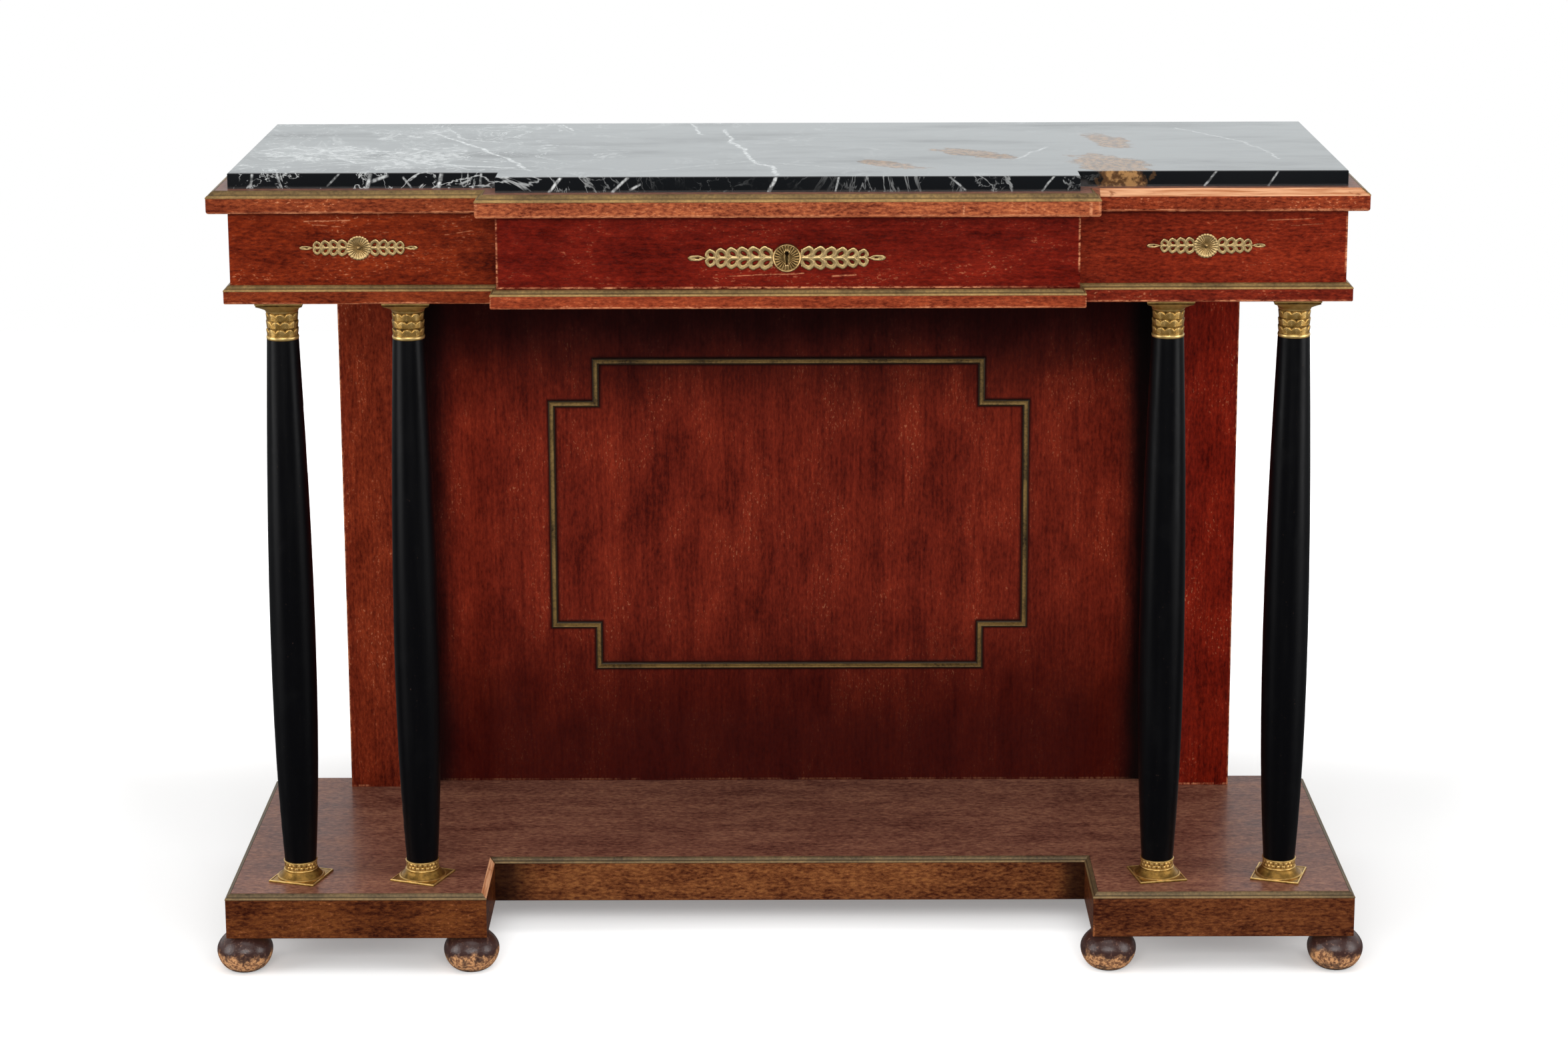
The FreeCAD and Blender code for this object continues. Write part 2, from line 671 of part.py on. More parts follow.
def panel_frame():
    """Return the twelve mitred lengths of the brass frame, notched at its corners."""
    half = STILE_INNER_X - FRAME_SIDE_MARGIN
    inner = half - FRAME_NOTCH_WIDTH
    bottom = DECK_TOP + FRAME_BOTTOM_MARGIN
    top = SOFFIT - FRAME_TOP_MARGIN
    low = bottom + FRAME_NOTCH_HEIGHT
    high = top - FRAME_NOTCH_HEIGHT
    path = [
        (half, low), (half, high), (inner, high), (inner, top), (-inner, top), (-inner, high),
        (-half, high), (-half, low), (-inner, low), (-inner, bottom), (inner, bottom), (inner, low),
    ]
    section = reeded_section(FRAME_MOULDING_WIDTH, FRAME_MOULDING_PROUD, FRAME_MOULDING_EDGE)
    section.translate(Vector(-FRAME_MOULDING_WIDTH / 2, 0, 0))
    stood_up = FreeCAD.Placement(
        Vector(0, at_depth(PANEL_THICKNESS), 0), FreeCAD.Rotation(Vector(1, 0, 0), 90)
    )
    lengths = mitred_lengths(section, path, 0, closed=True)
    return [length.transformed(stood_up.toMatrix()) for length in lengths]


# ---------------------------------------------------------------- base and feet

def base_deck():
    """Return the deck board, recessed in the middle, with the dowel holes of the columns."""
    low, high = brass_bed(BASE_BRASS_DEPTH, DECK_THICKNESS, 0)
    deck = bevelled_slab(
        platform(-low[0]), platform(-high[0]), DECK_BOTTOM, high[1], DECK_THICKNESS
    )
    return deck.cut(dowel_holes(DECK_TOP - DOWEL_DEPTH))


def base_fascia():
    """Return the seven mitred lengths under the deck, from the left side round to the right."""
    face = -BRASS_PROUD
    section = moulding_section(face - FASCIA_THICKNESS, face, FASCIA_HEIGHT, FASCIA_CORNER_RADIUS)
    return mitred_lengths(section, platform(0), FOOT_HEIGHT)


def base_brass():
    """Return the seven brass mouldings on the edge of the deck."""
    section = brass_section(BASE_BRASS_DEPTH, DECK_THICKNESS, 0)
    return mitred_lengths(section, platform(0), DECK_BOTTOM)


def base_back_rail():
    """Return the rail that closes the base at the back."""
    half = BASE_HALF_WIDTH - BRASS_PROUD - FASCIA_THICKNESS
    return board((-half, half), (0, BACK_RAIL_THICKNESS), (FOOT_HEIGHT, DECK_BOTTOM))


def foot_places():
    """Return the name, X and depth of each foot."""
    outer = BASE_HALF_WIDTH - FOOT_SIDE_INSET
    inner = RECESS_HALF_WIDTH + FOOT_RECESS_INSET
    front = BASE_DEPTH - FOOT_FRONT_INSET
    return [
        ("foot_outer_left", -outer, front), ("foot_inner_left", -inner, front),
        ("foot_inner_right", inner, front), ("foot_outer_right", outer, front),
        ("feet_rear", -outer, FOOT_RADIUS), ("feet_rear", outer, FOOT_RADIUS),
    ]


def bulge(widest, end):
    """Return the middle of the arc that stands upright at its widest point and runs to an end."""
    fall = widest[0] - end[0]
    rise = end[1] - widest[1]
    radius = (fall ** 2 + rise ** 2) / (2 * fall)
    half_angle = math.asin(rise / radius) / 2
    return (widest[0] - radius * (1 - math.cos(half_angle)), widest[1] + radius * math.sin(half_angle))


def foot():
    """Return a flattened bun foot with a spigot that goes up into its corner block."""
    widest = (FOOT_RADIUS, FOOT_WIDEST_HEIGHT)
    bottom = (FOOT_BOTTOM_RADIUS, 0)
    top = (FOOT_TOP_RADIUS, FOOT_HEIGHT)
    spigot_top = FOOT_HEIGHT + SPIGOT_LENGTH
    return turned(outline(
        (0, 0), bottom, (bulge(widest, bottom), widest), (bulge(widest, top), top),
        (SPIGOT_RADIUS, FOOT_HEIGHT), (SPIGOT_RADIUS, spigot_top), (0, spigot_top),
    ))


def corner_blocks():
    """Return the block in the base over each foot, bored for the foot's spigot."""
    wall = BRASS_PROUD + FASCIA_THICKNESS
    outer = (BASE_HALF_WIDTH - wall - CORNER_BLOCK_SIZE, BASE_HALF_WIDTH - wall)
    inner = (RECESS_HALF_WIDTH + wall, RECESS_HALF_WIDTH + wall + CORNER_BLOCK_SIZE)
    front = (BASE_DEPTH - wall - CORNER_BLOCK_SIZE, BASE_DEPTH - wall)
    back = (BACK_RAIL_THICKNESS, BACK_RAIL_THICKNESS + CORNER_BLOCK_SIZE)
    bore = Part.makeCylinder(SPIGOT_RADIUS + DOWEL_CLEARANCE, SPIGOT_LENGTH)
    blocks = []
    for name, x, depth in foot_places():
        span = inner if "inner" in name else outer
        side = -1 if x < 0 else 1
        block = board(
            (side * span[0], side * span[1]),
            back if name == "feet_rear" else front,
            (FOOT_HEIGHT, DECK_BOTTOM),
        )
        blocks.append(block.cut(moved(bore, x, at_depth(depth), FOOT_HEIGHT)))
    return blocks


# ---------------------------------------------------------------- drawer and lock

def dovetails(side, lap):
    """Return the tails at the front end of a drawer side, lap behind the front's face."""
    pitch = DRAWER_SIDE_HEIGHT / DOVETAIL_COUNT
    outer = side * DRAWER_SIDE_X
    inner = side * (DRAWER_SIDE_X - DRAWER_SIDE_THICKNESS)
    tails = []
    for i in range(DOVETAIL_COUNT):
        middle = DRAWER_SIDE_BOTTOM + (i + 0.5) * pitch
        root = at_depth(DRAWER_FRONT_BACK)
        tip = at_depth(DRAWER_FRONT_BACK + lap)
        narrow = DOVETAIL_ROOT / 2
        wide = narrow + DOVETAIL_FLARE
        corners = [
            Vector(outer, root, middle - narrow), Vector(outer, root, middle + narrow),
            Vector(outer, tip, middle + wide), Vector(outer, tip, middle - wide),
        ]
        face = Part.Face(Part.makePolygon(corners + corners[:1]))
        tails.append(face.extrude(Vector(inner - outer, 0, 0)))
    return tails


def drawer_bottom():
    """Return the bottom board of the drawer, which sits in grooves in the sides and the front."""
    half = DRAWER_SIDE_X - DRAWER_SIDE_THICKNESS + DRAWER_GROOVE_DEPTH
    return board(
        (-half, half),
        (DRAWER_FRONT_BACK - DRAWER_LENGTH, DRAWER_FRONT_BACK + DRAWER_GROOVE_DEPTH),
        (DRAWER_BOTTOM_LEVEL, DRAWER_BOTTOM_LEVEL + DRAWER_BOTTOM_THICKNESS),
    )


def drawer_back():
    """Return the back of the drawer, on its bottom and housed in its sides."""
    half = DRAWER_SIDE_X - DRAWER_SIDE_THICKNESS + DRAWER_BACK_HOUSING
    rear = DRAWER_FRONT_BACK - DRAWER_LENGTH + DRAWER_BACK_SETBACK
    return board(
        (-half, half),
        (rear, rear + DRAWER_BACK_THICKNESS),
        (DRAWER_BOTTOM_LEVEL + DRAWER_BOTTOM_THICKNESS, DRAWER_SIDE_TOP - DRAWER_BACK_DROP),
    )


def drawer_side(side):
    """Return a drawer side, grooved for the bottom, housed for the back and dovetailed in front."""
    plain = board(
        (side * (DRAWER_SIDE_X - DRAWER_SIDE_THICKNESS), side * DRAWER_SIDE_X),
        (DRAWER_FRONT_BACK - DRAWER_LENGTH, DRAWER_FRONT_BACK),
        (DRAWER_SIDE_BOTTOM, DRAWER_SIDE_TOP),
    )
    joined = plain.fuse(dovetails(side, DOVETAIL_LENGTH))
    return joined.cut([drawer_bottom(), drawer_back()]).removeSplitter()


def keyhole(depth_range):
    """Return a keyhole between two depths: a round hole with a slot below it."""
    slot_top = KEYHOLE_HEIGHT + KEYHOLE_LENGTH / 2 - KEYHOLE_RADIUS
    near, far = sorted(depth_range)
    slot = board(
        (LOCK_X - KEYHOLE_SLOT_WIDTH / 2, LOCK_X + KEYHOLE_SLOT_WIDTH / 2),
        (near, far),
        (KEYHOLE_HEIGHT - KEYHOLE_LENGTH / 2, slot_top),
    )
    hole = Part.makeCylinder(
        KEYHOLE_RADIUS, far - near, Vector(LOCK_X, at_depth(far), slot_top), Vector(0, 1, 0)
    )
    return slot.fuse(hole).removeSplitter()


def lock_space(clearance):
    """Return the block that the lock case fills in the back of the drawer front."""
    return board(
        (LOCK_X - LOCK_HALF_WIDTH - clearance, LOCK_X + LOCK_HALF_WIDTH + clearance),
        (DRAWER_FRONT_BACK, DRAWER_FRONT_BACK + LOCK_DEPTH),
        (DRAWER_FRONT_TOP - LOCK_HEIGHT - clearance, DRAWER_FRONT_TOP),
    )


def drawer_front():
    """Return the drawer front with its dovetail sockets, bottom groove, lock mortise and keyhole."""
    front = board(
        (-BREAK_HALF_WIDTH, BREAK_HALF_WIDTH),
        (DRAWER_FRONT_BACK, BREAK_DEPTH),
        (FRIEZE_BOTTOM + DRAWER_BOTTOM_GAP, DRAWER_FRONT_TOP),
    )
    sockets = dovetails(-1, DOVETAIL_LENGTH) + dovetails(1, DOVETAIL_LENGTH)
    key_way = keyhole((DRAWER_FRONT_BACK, BREAK_DEPTH))
    cuts = sockets + [drawer_bottom(), lock_space(MORTISE_CLEARANCE), key_way]
    return front.cut(cuts).removeSplitter()


def lock_case():
    """Return the lock: a shallow brass box with an opening for the bolt and one for the key."""
    block = lock_space(0)
    inside = board(
        (LOCK_X - LOCK_HALF_WIDTH + LOCK_WALL, LOCK_X + LOCK_HALF_WIDTH - LOCK_WALL),
        (DRAWER_FRONT_BACK + LOCK_WALL, DRAWER_FRONT_BACK + LOCK_DEPTH - LOCK_WALL),
        (DRAWER_FRONT_TOP - LOCK_HEIGHT + LOCK_WALL, DRAWER_FRONT_TOP - LOCK_WALL),
    )
    mouth = bolt_hole(bolt_depth(), DRAWER_FRONT_TOP - LOCK_WALL, LOCK_WALL, BOLT_CLEARANCE)
    key_way = keyhole((DRAWER_FRONT_BACK + LOCK_DEPTH / 2, BREAK_DEPTH))
    return block.cut([inside, mouth, key_way])


def lock_bolt():
    """Return the bolt, drawn down until its end is level with the top of the lock."""
    return bolt_hole(bolt_depth(), DRAWER_FRONT_TOP - BOLT_LENGTH, BOLT_LENGTH, 0)


# ---------------------------------------------------------------- pierced leaf mounts

def leaf_outline(length, width):
    """Return a flat pointed leaf in the XZ plane, from the origin along X."""
    return outline((0, 0), ((length / 2, -width / 2), (length, 0)), ((length / 2, width / 2), (0, 0)))


def flat_turn(face, degrees, x, z):
    """Turn a face in the XZ plane about the origin and move it."""
    turn = FreeCAD.Rotation(Vector(0, -1, 0), degrees)
    placed = face.copy()
    placed.Placement = FreeCAD.Placement(Vector(x, 0, z), turn)
    return placed


def leaf_band(length, band, rosette, pairs):
    """Return the right half of a mount: slanting leaves on a stem, each pierced, and a bud."""
    reach = length / 2
    pitch = (reach - rosette) / (pairs + BUD_PITCHES)
    thick = Vector(0, MOUNT_THICKNESS, 0)
    solids = [outline((0, -LEAF_VEIN), (reach - pitch, -LEAF_VEIN), (reach - pitch, LEAF_VEIN), (0, LEAF_VEIN))]
    slots = []
    rise = math.sin(math.radians(LEAF_SLANT))
    run = math.cos(math.radians(LEAF_SLANT))
    for i in range(pairs):
        root = rosette + (i - FIRST_LEAF_LAP_PITCHES) * pitch
        taper = 1 - LAST_LEAF_SHORTENING * (i / pairs) ** 2
        leaf_length = taper * band / (2 * rise)
        leaf_width = LEAF_OVERLAP * pitch * rise
        for side in (-1, 1):
            solids.append(flat_turn(leaf_outline(leaf_length, leaf_width), side * LEAF_SLANT, root, 0))
            inset = 2 * SLOT_MARGIN
            slot = leaf_outline(leaf_length - 2 * inset, leaf_width - SLOT_MARGIN)
            slots.append(flat_turn(slot, side * LEAF_SLANT, root + inset * run, side * inset * rise))
    bud_root = reach - (BUD_PITCHES + BUD_LAP_PITCHES) * pitch
    solids.append(flat_turn(leaf_outline(reach - bud_root, band * BUD_WIDTH_SHARE), 0, bud_root, 0))
    plates = [face.extrude(thick) for face in solids]
    piercings = [face.extrude(thick) for face in slots]
    return plates[0].fuse(plates[1:]).cut(piercings)


def rosette_disc(radius):
    """Return a dished disc with a raised rim, its face towards -Y and its back on the XZ plane."""
    crest = MOUNT_THICKNESS + ROSETTE_RISE
    dish = radius - ROSETTE_RIM_WIDTH
    disc = turned(outline(
        (0, 0), (radius, 0), (radius, MOUNT_THICKNESS), (((radius + dish) / 2, crest), (dish, MOUNT_THICKNESS)),
        ((radius * ROSETTE_BOSS_SHARE, crest), (0, crest)),
    ))
    return disc.rotated(Vector(0, 0, 0), Vector(1, 0, 0), 90)


def leaf_mount(length, band, rosette, pairs):
    """Return a whole mount about its middle, its back on the XZ plane."""
    right = leaf_band(length, band, rosette, pairs)
    right.translate(Vector(0, -MOUNT_THICKNESS, 0))
    left = right.mirror(Vector(0, 0, 0), Vector(1, 0, 0))
    return rosette_disc(rosette).fuse([right, left]).removeSplitter()


def side_mount(x):
    """Return the mount on a fixed frieze panel."""
    mount = leaf_mount(SIDE_MOUNT_LENGTH, SIDE_MOUNT_BAND, SIDE_MOUNT_ROSETTE, SIDE_MOUNT_PAIRS)
    return moved(mount, x, at_depth(FRIEZE_DEPTH), FRIEZE_MIDDLE + SIDE_MOUNT_RISE)


def drawer_escutcheon():
    """Return the long mount on the drawer front, with the keyhole through its rosette."""
    mount = leaf_mount(ESCUTCHEON_LENGTH, ESCUTCHEON_BAND, ESCUTCHEON_ROSETTE, ESCUTCHEON_PAIRS)
    placed = moved(mount, LOCK_X, at_depth(BREAK_DEPTH), KEYHOLE_HEIGHT)
    through = keyhole((BREAK_DEPTH, BREAK_DEPTH + 2 * (MOUNT_THICKNESS + ROSETTE_RISE)))
    return placed.cut(through)


# ---------------------------------------------------------------- the whole table

def table():
    """Return every piece of the table by name."""
    cornice_lengths = cornice()
    cornice_strips = cornice_brass()
    architrave_lengths = architrave()
    fascia_lengths = base_fascia()
    base_strips = base_brass()
    kicker_bottom = DRAWER_SIDE_TOP + KICKER_GAP
    pieces = {
        "marble_top": marble_top(),
        "top_board": top_board(),
        "cornice_left": cornice_lengths[:2],
        "cornice_center": cornice_lengths[2:5],
        "cornice_right": cornice_lengths[5:],
        "cornice_brass": cornice_strips[:5] + cornice_strips[6:],
        "frieze_back_rail": frieze_back_rail(),
        "drawer_top_rail": drawer_top_rail(),
        "drawer_runners": strips_beside_drawer(FRIEZE_BOTTOM, RUNNER_TOP),
        "drawer_kickers": strips_beside_drawer(kicker_bottom, TOP_BOARD_BOTTOM),
        "soffit_board": soffit_board(),
        "architrave_left": architrave_lengths[:2],
        "architrave_center": architrave_lengths[2:5],
        "architrave_right": architrave_lengths[5:],
        "architrave_brass": architrave_brass(),
        "back_panel": back_panel(),
        "panel_frame_brass": panel_frame(),
        "base_deck": base_deck(),
        "base_fascia_left": fascia_lengths[:3],
        "base_fascia_recess": fascia_lengths[3],
        "base_fascia_right": fascia_lengths[4:],
        "base_brass": base_strips[:2] + base_strips[3:],
        "base_back_rail": base_back_rail(),
        "base_corner_blocks": corner_blocks(),
        "side_mount_left": side_mount(SIDE_MOUNT_LEFT_INSET - FRIEZE_HALF_WIDTH),
        "side_mount_right": side_mount(FRIEZE_HALF_WIDTH - SIDE_MOUNT_RIGHT_INSET),
        "drawer_front": drawer_front(),
        "drawer_back": drawer_back(),
        "drawer_bottom": drawer_bottom(),
        "drawer_lock_case": lock_case(),
        "drawer_escutcheon": drawer_escutcheon(),
        "lock_bolt": lock_bolt(),
    }
    for name, side in (("left", -1), ("right", 1)):
        pieces["frieze_front_" + name] = frieze_front(side)
        pieces["frieze_side_" + name] = frieze_side(side)
        pieces["drawer_partition_" + name] = drawer_partition(side)
        pieces["drawer_side_" + name] = drawer_side(side)
        pieces["stile_" + name] = stile(side)
    shaft, base, capital = column_shaft(), column_base(), column_capital()
    for name, x, turn in column_places():
        y = at_depth(COLUMN_DEPTH)
        pieces["column_" + name + "_shaft"] = moved(shaft, x, y, DECK_TOP)
        pieces["column_" + name + "_base"] = moved(base, x, y, DECK_TOP, turn)
        pieces["column_" + name + "_capital"] = moved(capital, x, y, SOFFIT - CAPITAL_HEIGHT)
    bun = foot()
    for name, x, depth in foot_places():
        pieces.setdefault(name, []).append(moved(bun, x, at_depth(depth), 0))
    return pieces


def export(pieces):
    """Write each piece to its own STEP file."""
    os.makedirs("parts", exist_ok=True)
    for name, shape in pieces.items():
        solids = shape if isinstance(shape, list) else [shape]
        whole = solids[0] if len(solids) == 1 else Part.makeCompound(solids)
        whole.exportStep("parts/" + name + ".step")
        print(name, len(whole.Solids), round(whole.Volume), whole.isValid())


export(table())
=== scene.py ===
import logging
import math
from dataclasses import dataclass, field
from enum import Enum
from typing import Any, Callable, ClassVar, Sequence

import bpy
from mathutils import Matrix, Vector


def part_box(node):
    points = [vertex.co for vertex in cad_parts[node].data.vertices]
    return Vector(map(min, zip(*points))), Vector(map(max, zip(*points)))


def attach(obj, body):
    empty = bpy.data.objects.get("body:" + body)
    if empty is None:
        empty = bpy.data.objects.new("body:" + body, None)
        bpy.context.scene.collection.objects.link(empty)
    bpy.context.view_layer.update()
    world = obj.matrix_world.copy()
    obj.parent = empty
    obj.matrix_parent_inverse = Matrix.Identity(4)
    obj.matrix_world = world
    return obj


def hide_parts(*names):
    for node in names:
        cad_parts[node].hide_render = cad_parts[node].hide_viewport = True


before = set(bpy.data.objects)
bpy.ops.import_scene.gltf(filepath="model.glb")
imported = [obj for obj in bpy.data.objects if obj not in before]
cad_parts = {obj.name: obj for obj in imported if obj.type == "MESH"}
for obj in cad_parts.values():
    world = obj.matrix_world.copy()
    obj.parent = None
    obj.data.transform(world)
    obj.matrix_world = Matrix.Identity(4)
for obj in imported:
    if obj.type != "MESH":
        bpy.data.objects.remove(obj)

LOG = logging.getLogger("pier_table")
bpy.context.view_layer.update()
RELIEF = "relief"

Tint = tuple[float, float, float]
Point = tuple[float, float]


def rgb(red: int, green: int, blue: int) -> Tint:
    """Turn a colour given in 0 to 255 into scene-linear light.

    Args:
        red, green, blue: the colour as it looks on a screen.

    Returns:
        The linear colour.
    """
    def linear(level: int) -> float:
        """Undo the screen's curve for one channel."""
        share = level / 255
        return share / 12.92 if share <= 0.04045 else ((share + 0.055) / 1.055) ** 2.4
    return linear(red), linear(green), linear(blue)


def scaled(tint: Tint, *shares: float) -> Tint:
    """Scale each channel of a colour by its own share."""
    return tuple(level * share for level, share in zip(tint, shares))


# ------------------------------------------------------------------ shader maths

class Signal:
    """An output socket that adds Math nodes when it is used in a Python expression."""

    def __init__(self, graph: "Graph", socket: bpy.types.NodeSocket) -> None:
        """Wrap an output socket of a graph."""
        self.graph = graph
        self.socket = socket

    def math(self, operation: str, *others: Any, first: bool = True) -> "Signal":
        """Add a Math node.

        Args:
            operation: the node's operation.
            others: the other operands.
            first: whether this signal is the first operand.

        Returns:
            The node's value.
        """
        operands = (self, *others) if first else (*others, self)
        return self.graph.node("Math", {"operation": operation}, dict(enumerate(operands)))

    def sibling(self, output: str | int) -> "Signal":
        """Return another output of the same node."""
        return Signal(self.graph, self.socket.node.outputs[output])

    def __add__(self, other: Any) -> "Signal":
        """Sum."""
        return self.math("ADD", other)

    __radd__ = __add__

    def __sub__(self, other: Any) -> "Signal":
        """Difference."""
        return self.math("SUBTRACT", other)

    def __rsub__(self, other: Any) -> "Signal":
        """Reflected difference."""
        return self.math("SUBTRACT", other, first=False)

    def __mul__(self, other: Any) -> "Signal":
        """Product."""
        return self.math("MULTIPLY", other)

    __rmul__ = __mul__

    def __truediv__(self, other: Any) -> "Signal":
        """Quotient."""
        return self.math("DIVIDE", other)

    def __abs__(self) -> "Signal":
        """Size without sign."""
        return self.math("ABSOLUTE")

    def most(self, other: Any) -> "Signal":
        """Return the larger of two values."""
        return self.math("MAXIMUM", other)

    def least(self, other: Any) -> "Signal":
        """Return the smaller of two values."""
        return self.math("MINIMUM", other)

    def ease(self, low: float, high: float) -> "Signal":
        """Rise smoothly from 0 at low to 1 at high, or fall where high is the smaller.

        Args:
            low: the value that gives 0.
            high: the value that gives 1.

        Returns:
            A share from 0 to 1.
        """
        return self.graph.node(
            "MapRange", {"interpolation_type": "SMOOTHSTEP"},
            {"Value": self, "From Min": low, "From Max": high},
        )

    def within(self, low: float, high: float, blur: float) -> "Signal":
        """Return 1 between two values and 0 outside them, with soft ends."""
        middle, half = (low + high) / 2, (high - low) / 2
        return abs(self - middle).ease(half + blur / 2, half - blur / 2)


Axes = tuple[Signal, Signal, Signal]


class Graph:
    """The nodes of one material or of the world."""

    def __init__(self, tree: bpy.types.NodeTree) -> None:
        """Start with an empty tree."""
        tree.nodes.clear()
        self.tree = tree

    def node(
        self, kind: str, settings: dict[str, Any] | None = None,
        inputs: dict[str | int, Any] | None = None, output: str | int = 0,
    ) -> Signal:
        """Add a node, set it up and feed it.

        Args:
            kind: the node's type, without its ShaderNode prefix.
            settings: its properties, and a ramp's stops under "stops".
            inputs: values or signals by the name or the place of the socket.
            output: the socket to return.

        Returns:
            The chosen output.
        """
        node = self.tree.nodes.new("ShaderNode" + kind)
        for name, value in (settings or {}).items():
            if name == "stops":
                self._set_stops(node.color_ramp, value)
            else:
                setattr(node, name, value)
        for key, value in (inputs or {}).items():
            socket = node.inputs[key]
            if isinstance(value, Signal):
                self.tree.links.new(value.socket, socket)
            elif isinstance(value, tuple) and socket.type == "RGBA":
                socket.default_value = (*value[:3], 1.0)
            else:
                socket.default_value = value
        return Signal(self, node.outputs[output] if node.outputs else None)

    @staticmethod
    def _set_stops(ramp: bpy.types.ColorRamp, stops: Sequence[tuple[float, Tint]]) -> None:
        """Give a ramp its stops.

        Args:
            ramp: the ramp.
            stops: the place from 0 to 1 and the colour of each stop.
        """
        while len(ramp.elements) < len(stops):
            ramp.elements.new(1.0)
        for element, (place, tint) in zip(ramp.elements, stops):
            element.position = place
            element.color = (*tint, 1.0)

    def _split(self, output: str) -> Axes:
        """Return the X, Y and Z of one output of the texture coordinates."""
        x = self.node("SeparateXYZ", None, {0: self.node("TexCoord", output=output)})
        return x, x.sibling(1), x.sibling(2)

    def axes(self) -> Axes:
        """Return X, Y and Z of the surface in the table's own frame."""
        return self._split("Object")

    def facing(self) -> Axes:
        """Return X, Y and Z of the surface's direction in the table's own frame."""
        return self._split("Normal")

    def vector(self, x: Any, y: Any, z: Any) -> Signal:
        """Join three values into a vector."""
        return self.node("CombineXYZ", None, {0: x, 1: y, 2: z})

    def place(self) -> Signal:
        """Return the point of the surface in the table's own frame, as a vector."""
        return self.vector(*self.axes())

    def noise(
        self, place: Signal, scale: float, detail: float = 3.0, rough: float = 0.55, twist: float = 0.0,
    ) -> Signal:
        """Return soft noise about one half.

        Args:
            place: where it is sampled.
            scale: features to the metre.
            detail: octaves.
            rough: how strong the finer octaves are.
            twist: how far it is bent by itself.

        Returns:
            The noise.
        """
        return self.node("TexNoise", None, {
            "Vector": place, "Scale": scale, "Detail": detail, "Roughness": rough, "Distortion": twist,
        })

    def mix(self, share: Any, first: Any, second: Any) -> Signal:
        """Blend two colours, share 0 being the first."""
        return self.node("Mix", {"data_type": "RGBA"}, {0: share, 6: first, 7: second}, output=2)

    def blend(self, share: Any, first: Any, second: Any) -> Signal:
        """Blend two numbers, share 0 being the first."""
        return self.node("Mix", {"data_type": "FLOAT"}, {0: share, 2: first, 3: second})

    def ramp(self, share: Signal, *stops: tuple[float, Tint]) -> Signal:
        """Return a colour from a row of stops."""
        return self.node("ValToRGB", {"stops": stops}, {0: share})

    def stroke(self, across: Signal, along: Signal, start: Point, end: Point, width: float) -> Signal:
        """Return a soft straight stroke between two points of a plane.

        Args:
            across, along: the plane's two coordinates.
            start, end: the ends of the stroke.
            width: its width.

        Returns:
            1 on the stroke and 0 off it.
        """
        run, rise = end[0] - start[0], end[1] - start[1]
        length = math.hypot(run, rise)
        ux, uy = run / length, rise / length
        ahead = across * ux + along * uy - (start[0] * ux + start[1] * uy)
        aside = across * uy - along * ux - (start[0] * uy - start[1] * ux)
        inside = ahead.within(0.0, length, 2 * width)
        return abs(aside).ease(width, width * 0.2) * inside


@dataclass
class Layer:
    """What a finish gives at each point: colour, roughness, height in metres and coat."""

    colour: Any
    roughness: Any
    height: Any
    coat: Any = 0.0

    def over(self, graph: Graph, below: "Layer", share: Signal) -> "Layer":
        """Lay this finish over another where share is 1.

        Args:
            graph: where the nodes go.
            below: the finish beneath.
            share: how much of this one shows, from 0 to 1.

        Returns:
            The two together.
        """
        return Layer(
            graph.mix(share, below.colour, self.colour),
            graph.blend(share, below.roughness, self.roughness),
            graph.blend(share, below.height, self.height),
            self.coat if self.coat == below.coat else graph.blend(share, below.coat, self.coat),
        )


@dataclass(frozen=True)
class Shine:
    """The settings of a surface that are the same all over it."""

    metallic: float = 0.0
    specular: float = 0.5
    coat_roughness: float = 0.1
    ior: float = 1.5


class Finish:
    """What every finish has: the nodes it paints with and its shine."""

    shine: ClassVar[Shine] = Shine()

    def paint(self, graph: Graph) -> Layer:
        """Add the nodes of the finish.

        Args:
            graph: where they go.

        Returns:
            What the finish gives at each point.
        """
        raise NotImplementedError

    def material(self, name: str) -> bpy.types.Material:
        """Return the finish as a material.

        Args:
            name: the material's name.

        Returns:
            The material.
        """
        material = bpy.data.materials.new(name)
        material.use_nodes = True
        graph = Graph(material.node_tree)
        layer = self.paint(graph)
        normal = graph.node("Bump", None, {"Strength": 1.0, "Distance": 1.0, "Height": layer.height})
        shader = graph.node("BsdfPrincipled", None, {
            "Base Color": layer.colour, "Roughness": layer.roughness, "Coat Weight": layer.coat,
            "Metallic": self.shine.metallic, "IOR": self.shine.ior, "Specular IOR Level": self.shine.specular,
            "Coat Roughness": self.shine.coat_roughness, "Normal": normal,
        })
        graph.node("OutputMaterial", None, {"Surface": shader})
        return material


# ------------------------------------------------------------------ finishes

class Grain(Enum):
    """The way that the grain of a board runs."""

    ALONG = "along the table's rails, and back along its ends"
    UPRIGHT = "upright"


@dataclass(frozen=True)
class Scratch:
    """A pale line on a flat face, from one point to another, in X and Z."""

    start: Point
    end: Point
    width: float
    strength: float


@dataclass(frozen=True)
class Shade:
    """A part of a board painted darker, fading in from one place to another: painted shade where shadow falls
    from the parts over and beside it, or a darkening toward one end.

    axis is 0 for X and 1 for Z.
    """

    axis: int
    start: float
    full: float
    tint: Tint
    strength: float

    def amount(self, graph: Graph, x: Signal, z: Signal) -> Signal:
        """Return how strong the shade is.

        Args:
            graph: where the nodes go.
            x, z: the place on the board.

        Returns:
            A share from 0 to 1.
        """
        place = (x, z)[self.axis]
        drift = graph.noise(graph.vector(x * 8.0, z * 8.0, self.start), 1.0, 4.0, 0.6) - 0.5
        return (place + drift * abs(self.full - self.start) * 0.6).ease(self.start, self.full) * self.strength


